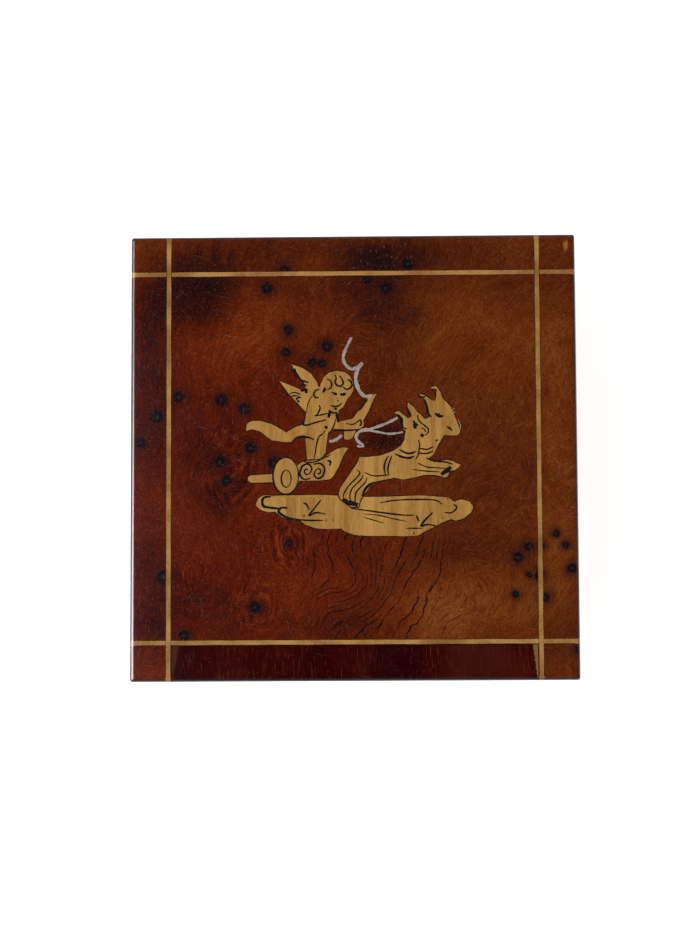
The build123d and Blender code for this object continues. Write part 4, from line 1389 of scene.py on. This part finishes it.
GROUND_INK = (
    Stroke(
        ((-20.4, -9.8), (-22.0, -10.0), (-22.5, -11.1), (-22.0, -12.2), (-19.8, -12.6), (-18.1, -12.8)),
        0.40,
    ),
    Stroke(
        ((-16.3, -12.6), (-17.9, -12.6), (-18.5, -13.5), (-17.5, -14.4), (-15.7, -15.2), (-13.4, -15.5)),
        0.40,
    ),
    Stroke(((-14.9, -15.4), (-11.2, -15.7), (-7.5, -15.7)), 0.26),
    Stroke(((-6.9, -15.7), (-6.7, -15.7)), 0.32, 0.2),
    Stroke(((-5.2, -15.7), (-5.0, -15.7)), 0.32, 0.2),
    Stroke(((-12.4, -11.4), (-11.6, -11.8), (-10.9, -13.2)), 0.28),
    Stroke(((-8.1, -10.7), (-9.4, -12.4), (-11.0, -14.5), (-9.2, -13.8), (-6.9, -14.2)), 0.28),
    Stroke(((-12.4, -14.6), (-12.1, -14.6)), 0.34, 0.2),
    Stroke(((-0.6, -12.8), (3.5, -13.4), (7.6, -14.0), (11.7, -14.5), (14.7, -14.6)), 0.25),
    Stroke(((2.5, -14.2), (6.4, -14.6), (9.6, -15.4), (12.9, -16.1)), 0.18),
    Stroke(((2.3, -15.0), (4.7, -15.7), (7.2, -16.4)), 0.16),
    Stroke(((6.4, -11.5), (10.0, -10.9), (15.7, -10.7), (19.8, -10.9), (21.7, -11.9)), 0.23),
    Stroke(((22.2, -14.0), (23.9, -14.0), (25.1, -13.0), (24.9, -12.2), (24.3, -12.2)), 0.25),
    Stroke(((15.3, -14.6), (15.9, -16.1)), 0.28),
    Stroke(((19.3, -14.0), (17.8, -15.4), (16.4, -17.2), (18.0, -16.9), (20.0, -17.2))),
    Stroke(((12.8, -17.8), (14.5, -17.8), (16.8, -17.8)), 0.20),
    Stroke(((14.5, -19.0), (14.8, -19.0)), 0.34, 0.2),
    Stroke(((21.6, -15.3), (21.8, -15.3)), 0.30, 0.2),
    Stroke(((22.9, -10.6), (23.1, -10.6)), 0.30, 0.2),
)
SILVER = (
    Stroke(
        (
            (-0.4, 29.5), (-1.4, 27.5), (-2.4, 25.0), (-2.2, 23.3),
            (-1.4, 22.2), (-0.3, 21.6), (1.0, 22.1), (2.3, 23.2),
        ),
        0.74,
        0.3,
    ),
    Stroke(
        ((2.3, 23.1), (1.1, 21.3), (0.6, 19.2), (1.2, 16.8), (2.3, 15.2), (3.5, 14.8), (4.7, 15.1)),
        0.86,
        0.35,
    ),
    Stroke(((-5.9, 3.7), (-4.6, 4.0), (-3.6, 4.6), (-2.9, 5.3)), 0.76, 0.2),
    Stroke(((1.9, 6.2), (3.5, 6.5), (6.0, 7.3), (8.4, 8.2), (10.9, 9.5)), 0.66, 0.3),
    Stroke(((3.0, 6.6), (6.4, 5.9), (9.2, 5.5), (12.1, 5.9)), 0.52, 0.2),
    Stroke(((3.5, 6.8), (1.6, 6.2), (0.6, 4.9), (1.1, 3.7), (2.4, 2.8)), 0.72, 0.3),
    Stroke(((0.9, 2.6), (1.7, 2.4), (2.6, 2.6)), 0.50, 0.2),
    Stroke(((24.1, 11.1), (24.8, 11.7)), 0.16),
    Stroke(((24.3, 10.4), (25.0, 10.9)), 0.16),
    Stroke(((25.7, 9.0), (26.3, 7.4), (25.9, 5.6)), 0.14),
)


@dataclass
class LidPicture:
    """The ink drawing, wires and joint lines of the marquetry picture."""

    outline_width: float = 0.24
    rim_width: float = 0.34
    ink_weight: float = 1.7
    wheel_middle: Point = (-16.7, -4.7)
    wheel_radii: Point = (3.15, 4.5)
    hub_middle: Point = (-16.6, -5.4)
    hub_radii: Point = (1.2, 2.1)
    surface: float = field(default_factory=lambda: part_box("lid_field_veneer")[1].z)

    def oval(self, middle: Point, radii: Point, count: int = 64) -> list[Vector]:
        """Draws an oval.

        Args:
            middle: its middle, in millimetres.
            radii: its radii, in millimetres.
            count: how many points it has.

        Returns:
            Its points, in millimetres.
        """
        turns = [2 * math.pi * index / count for index in range(count)]
        rim = [Vector((radii[0] * math.cos(turn), radii[1] * math.sin(turn))) for turn in turns]
        return [Vector(middle) + place for place in rim]

    def wheel(self, ribbon: Ribbon, mesh: bmesh.types.BMesh) -> None:
        """Draws the chariot's wheel and its hub.

        Args:
            ribbon: what builds the strips.
            mesh: where to add them.
        """
        for middle, radii in ((self.wheel_middle, self.wheel_radii), (self.hub_middle, self.hub_radii)):
            path = self.oval(middle, radii)
            waves = [math.sin(3 + index / 7) for index in range(len(path))]
            widths = [self.rim_width * (1 + 0.35 * wave) for wave in waves]
            ribbon.strip(mesh, path, widths, closed=True)

    def edge_loops(self, node: str) -> list[list[Vector]]:
        """Finds the outlines of an inlaid piece's top face.

        Args:
            node: the CAD piece.

        Returns:
            Closed lists of points, in millimetres.
        """
        source = bmesh.new()
        source.from_mesh(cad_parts[node].data)
        bmesh.ops.remove_doubles(source, verts=source.verts, dist=1e-7)
        top = [f for f in source.faces if all(abs(v.co.z - self.surface) < 1e-6 for v in f.verts)]
        inside = set(top)
        links: dict[int, list[int]] = {}
        places = {}
        for face in top:
            for edge in face.edges:
                if sum(other in inside for other in edge.link_faces) == 1:
                    a, b = edge.verts
                    links.setdefault(a.index, []).append(b.index)
                    links.setdefault(b.index, []).append(a.index)
                    places[a.index] = Vector((a.co.x, a.co.y)) / MM
                    places[b.index] = Vector((b.co.x, b.co.y)) / MM
        source.free()
        loops = []
        waiting = set(links)
        while waiting:
            start = min(waiting)
            loop, here, before = [start], start, None
            while True:
                onward = [n for n in links[here] if n != before and (n in waiting or n == start)]
                waiting.discard(here)
                if not onward or onward[0] == start:
                    break
                before, here = here, onward[0]
                loop.append(here)
            if len(loop) > 3:
                loops.append([places[index] for index in loop])
        return loops

    def build(self) -> None:
        """Builds and dresses the drawing."""
        ink = InkFinish().material()
        glue = InkFinish("glue_line", (0.016, 0.007, 0.004), (0.085, 0.036, 0.014)).material()
        ribbon = Ribbon(self.surface)
        drawings = {
            "ink_child": CHILD_INK,
            "ink_chariot": CHARIOT_INK,
            "ink_goats": GOAT_INK,
            "ink_ground": GROUND_INK,
        }
        for name, strokes in drawings.items():
            mesh = bmesh.new()
            ribbon.strokes(mesh, strokes, self.ink_weight)
            if name == "ink_chariot":
                self.wheel(ribbon, mesh)
            finish_mesh(mesh, name, ink, "lid")
        lines = Ribbon(self.surface, proud=0.006)
        for node in ("inlay_putto", "inlay_chariot", "inlay_goats", "inlay_ground"):
            mesh = bmesh.new()
            for loop in self.edge_loops(node):
                waves = [math.sin(index / 3) + math.sin(index * 1.3) for index in range(len(loop))]
                widths = [self.outline_width * (1 + 0.3 * wave) for wave in waves]
                lines.strip(mesh, loop, widths, closed=True)
            finish_mesh(mesh, node.replace("inlay", "glue_line"), glue, "lid")
        mesh = bmesh.new()
        Ribbon(self.surface, proud=0.02).strokes(mesh, SILVER, wobble=0.16)
        wire = MetalFinish(
            "reins_wire",
            bright=(0.31, 0.250, 0.205),
            tarnish=(0.165, 0.112, 0.085),
            roughness=0.55,
            filing=(3.0, 3.0, 3.0),
            metallic=0.1,
        )
        finish_mesh(mesh, "reins_and_whip", wire.material(), "lid")
        wood = StrapWood(
            "inlay_wood",
            dark=(0.255, 0.110, 0.020),
            light=(0.57, 0.300, 0.078),
            along=(1.5, 0.16, 1.0),
            patches=0.34,
        )
        dress(("inlay_putto", "inlay_chariot", "inlay_goats", "inlay_ground"), wood.material())


@dataclass
class Veneers:
    """The burl veneers and stringing outside the box."""

    burl_nodes: tuple[str, ...] = (
        "lid_field_veneer",
        "lid_border_veneers",
        "lid_corner_veneers",
        "lid_side_veneers",
        "case_veneer_left",
        "case_veneer_right",
        "case_veneer_back",
        "post_veneers",
        "front_veneer",
        "drawer_veneer",
    )
    line_nodes: tuple[str, ...] = (
        "lid_top_stringing",
        "lid_side_stringing",
        "case_stringing",
        "front_stringing",
    )

    def build(self) -> None:
        """Dresses the veneers."""
        dress(self.burl_nodes, BurlFinish("burl").material())
        dress(self.line_nodes, StringingFinish().material())
        dress(("front_cap",), CapFinish().material())


@dataclass
class StringingJoints:
    """The dark glue lines on both sides of the lid's stringing."""

    width: float = 0.11
    line_width: float = 1.3
    margin: float = 0.06
    reach: float = 53.9
    steps: int = 24
    corner: Vector = field(default_factory=lambda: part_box("lid_field_veneer")[1])

    def run(self, start: float, end: float) -> list[float]:
        """Divides a stretch of line.

        Args:
            start: where it starts.
            end: where it ends.

        Returns:
            Places along it, in millimetres.
        """
        return [start + (end - start) * index / self.steps for index in range(self.steps + 1)]

    def build(self) -> None:
        """Builds and dresses the glue lines."""
        mesh = bmesh.new()
        ribbon = Ribbon(self.corner.z, proud=0.005)
        inner = self.corner.x / MM
        outer = inner + self.line_width
        stretches = ((-self.reach, -outer), (-inner, inner), (outer, self.reach))
        for place in (inner + self.margin, outer - self.margin):
            for side in (-1, 1):
                along = self.run(-self.reach, self.reach)
                waves = [math.sin(1.7 * index + place) for index in range(len(along))]
                widths = [self.width * (1 + 0.3 * wave) for wave in waves]
                ribbon.strip(mesh, [Vector((side * place, step)) for step in along], widths)
                for start, end in stretches:
                    across = self.run(start, end)
                    ribbon.strip(mesh, [Vector((step, side * place)) for step in across], widths)
        glue = InkFinish("stringing_glue", (0.012, 0.005, 0.004), (0.060, 0.022, 0.010)).material()
        finish_mesh(mesh, "glue_line_stringing", glue, "lid")


@dataclass
class Carcase:
    """The solid timber, linings and base felt."""

    walnut_nodes: tuple[str, ...] = (
        "base_board",
        "back_wall",
        "lock_wall",
        "inner_floor",
        "lid_back_rail",
        "lid_front_rail",
        "lid_panel",
        "front_board",
    )
    side_nodes: tuple[str, ...] = ("left_wall", "right_wall", "lid_left_rail", "lid_right_rail")
    walnut: tuple[Colour, Colour] = ((0.085, 0.035, 0.014), (0.20, 0.095, 0.038))
    beech_nodes: tuple[str, ...] = (
        "drawer_runners",
        "panel_guide_keys",
        "drawer_front",
        "drawer_bottom",
        "drawer_sides",
        "drawer_back",
    )
    velvet_nodes: tuple[str, ...] = ("floor_lining", "wall_lining", "lid_lining", "drawer_lining")

    def build(self) -> None:
        """Dresses the carcase."""
        dress(self.walnut_nodes, TimberFinish("walnut", *self.walnut).material())
        sides = TimberFinish("walnut_sides", *self.walnut, along=(1.0, 0.06, 1.0))
        dress(self.side_nodes, sides.material())
        dress(self.beech_nodes, TimberFinish("beech", (0.36, 0.20, 0.09), (0.56, 0.35, 0.18)).material())
        velvet = ClothFinish("velvet", (0.085, 0.004, 0.008), (0.26, 0.014, 0.022))
        dress(self.velvet_nodes, velvet.material())
        felt = ClothFinish("felt", (0.012, 0.035, 0.018), (0.035, 0.085, 0.045), sheen=0.3)
        dress(("base_felt",), felt.material())


@dataclass
class Fittings:
    """The brass and steel pieces."""

    brass_nodes: tuple[str, ...] = (
        "lock_case",
        "lock_back_plate",
        "lock_selvedge",
        "strike_plate",
        "escutcheon",
        "hinge_left_case_leaf",
        "hinge_left_lid_leaf",
        "hinge_right_case_leaf",
        "hinge_right_lid_leaf",
        "hinge_pins",
        "case_hinge_screws",
        "lid_hinge_screws",
        "lock_screws",
        "strike_screws",
    )
    steel_nodes: tuple[str, ...] = ("lock_bolt", "key", "key_pin", "lock_spring")

    def build(self) -> None:
        """Dresses the fittings."""
        dress(self.brass_nodes, MetalFinish("brass", (0.82, 0.58, 0.22), (0.36, 0.21, 0.08)).material())
        steel = MetalFinish("steel", (0.50, 0.50, 0.52), (0.20, 0.17, 0.15), roughness=0.30)
        dress(self.steel_nodes, steel.material())


@dataclass(frozen=True)
class Softbox:
    """One soft light: place and size in metres, power in watts, and which surfaces it lights."""

    name: str
    place: tuple[float, float, float]
    size: Point
    power: float
    colour: Colour = (1.0, 1.0, 1.0)
    mirrored: bool = False
    lights: bool = True
    level: bool = False


SOFTBOXES = (
    Softbox("left_window", (-0.95, 0.0, 0.62), (1.0, 0.6), 14.0, (0.90, 0.95, 1.0), mirrored=True),
    Softbox(
        "window_pane",
        (-0.92, -0.37, 0.70),
        (1.08, 1.06),
        44.0,
        (0.88, 0.95, 1.0),
        mirrored=True,
        lights=False,
    ),
    Softbox(
        "ceiling_glow",
        (-0.75, -0.33, 1.30),
        (1.1, 1.1),
        2.1,
        (0.62, 0.78, 1.0),
        mirrored=True,
        level=True,
    ),
    Softbox("back_softbox", (0.15, 1.05, 0.95), (1.3, 0.7), 2.8, (1.0, 0.97, 0.93)),
    Softbox("right_softbox", (1.05, -0.25, 0.75), (0.7, 1.1), 3.2, (1.0, 0.96, 0.90)),
    Softbox("front_fill", (0.0, -1.15, 0.80), (1.4, 0.6), 2.6),
)


@dataclass
class Studio:
    """Floor, lights and camera."""

    distance: float = 0.56
    tilt: float = 5.2
    sway: float = 1.0
    roll: float = -0.28
    lens: float = 88.0
    aim_x: float = -0.0009
    aim_y: float = -0.0025
    aim_height: float = 0.03
    floor_size: float = 6.0
    floor_gap: float = 0.0001
    sensor: float = 36.0
    floor_glow: float = 0.70
    zenith: float = 0.012
    horizon: float = 0.36

    def floor(self) -> None:
        """Lays a plain pale floor."""
        mesh = bmesh.new()
        bmesh.ops.create_grid(mesh, x_segments=1, y_segments=1, size=self.floor_size / 2)
        data = bpy.data.meshes.new("floor")
        mesh.to_mesh(data)
        mesh.free()
        ground = bpy.data.objects.new("floor", data)
        bpy.context.scene.collection.objects.link(ground)
        ground.location.z = CAD_BOX[0][2] - self.floor_gap
        material, graph, shader = new_material("pale_floor")
        place = graph.node("TexCoord").outputs["Object"]
        colour = graph.mix(graph.noise(place, 9.0), (0.86, 0.86, 0.86), (0.90, 0.90, 0.90))
        graph.feed(shader.inputs["Base Color"], colour)
        graph.feed(shader.inputs["Roughness"], 0.9)
        shader.inputs["Emission Color"].default_value = (1.0, 1.0, 1.0, 1.0)
        shader.inputs["Emission Strength"].default_value = self.floor_glow
        data.materials.append(material)

    def light(self, lamp: Softbox) -> None:
        """Hangs a soft light.

        Args:
            lamp: the light's place, size, power and colour.
        """
        data = bpy.data.lights.new(lamp.name, "AREA")
        data.shape = "RECTANGLE"
        data.size, data.size_y = lamp.size
        data.energy = lamp.power
        data.color = lamp.colour
        hung = bpy.data.objects.new(lamp.name, data)
        bpy.context.scene.collection.objects.link(hung)
        hung.visible_glossy = lamp.mirrored
        hung.visible_diffuse = lamp.lights
        hung.location = lamp.place
        if not lamp.level:
            beam = Vector((0.0, 0.0, self.aim_height)) - Vector(lamp.place)
            hung.rotation_euler = beam.to_track_quat("-Z", "Y").to_euler()

    def build(self) -> None:
        """Builds the studio."""
        self.floor()
        for lamp in SOFTBOXES:
            self.light(lamp)
        world = bpy.data.worlds.new("studio")
        bpy.context.scene.world = world
        world.use_nodes = True
        graph = Graph(world.node_tree)
        rise = graph.parts(graph.node("TexCoord").outputs["Generated"])[2]
        glow = graph.step(rise, 0.55, 0.86, self.horizon, self.zenith)
        shade = world.node_tree.nodes["Background"]
        graph.feed(shade.inputs["Color"], (0.97, 0.98, 1.0))
        graph.feed(shade.inputs["Strength"], glow)
        settings = bpy.context.scene.view_settings
        settings.view_transform = "Standard"
        settings.look = "None"

        data = bpy.data.cameras.new("camera")
        data.lens = self.lens
        data.sensor_width = self.sensor
        camera = bpy.data.objects.new("camera", data)
        bpy.context.scene.collection.objects.link(camera)
        camera.rotation_euler = (math.radians(self.tilt), math.radians(self.sway), math.radians(self.roll))
        aim = Vector((self.aim_x, self.aim_y, CAD_BOX[1][2]))
        camera.location = aim + camera.rotation_euler.to_matrix() @ Vector((0.0, 0.0, self.distance))
        bpy.context.scene.camera = camera


def main() -> None:
    """Builds the box's looks and the studio."""
    logging.basicConfig(level=logging.INFO, format="%(name)s: %(message)s")
    for part in (Studio(), Veneers(), StringingJoints(), LidPicture(), Carcase(), Fittings()):
        part.build()
        log.info("%s is done", type(part).__name__)


if __name__ == "__main__":
    main()
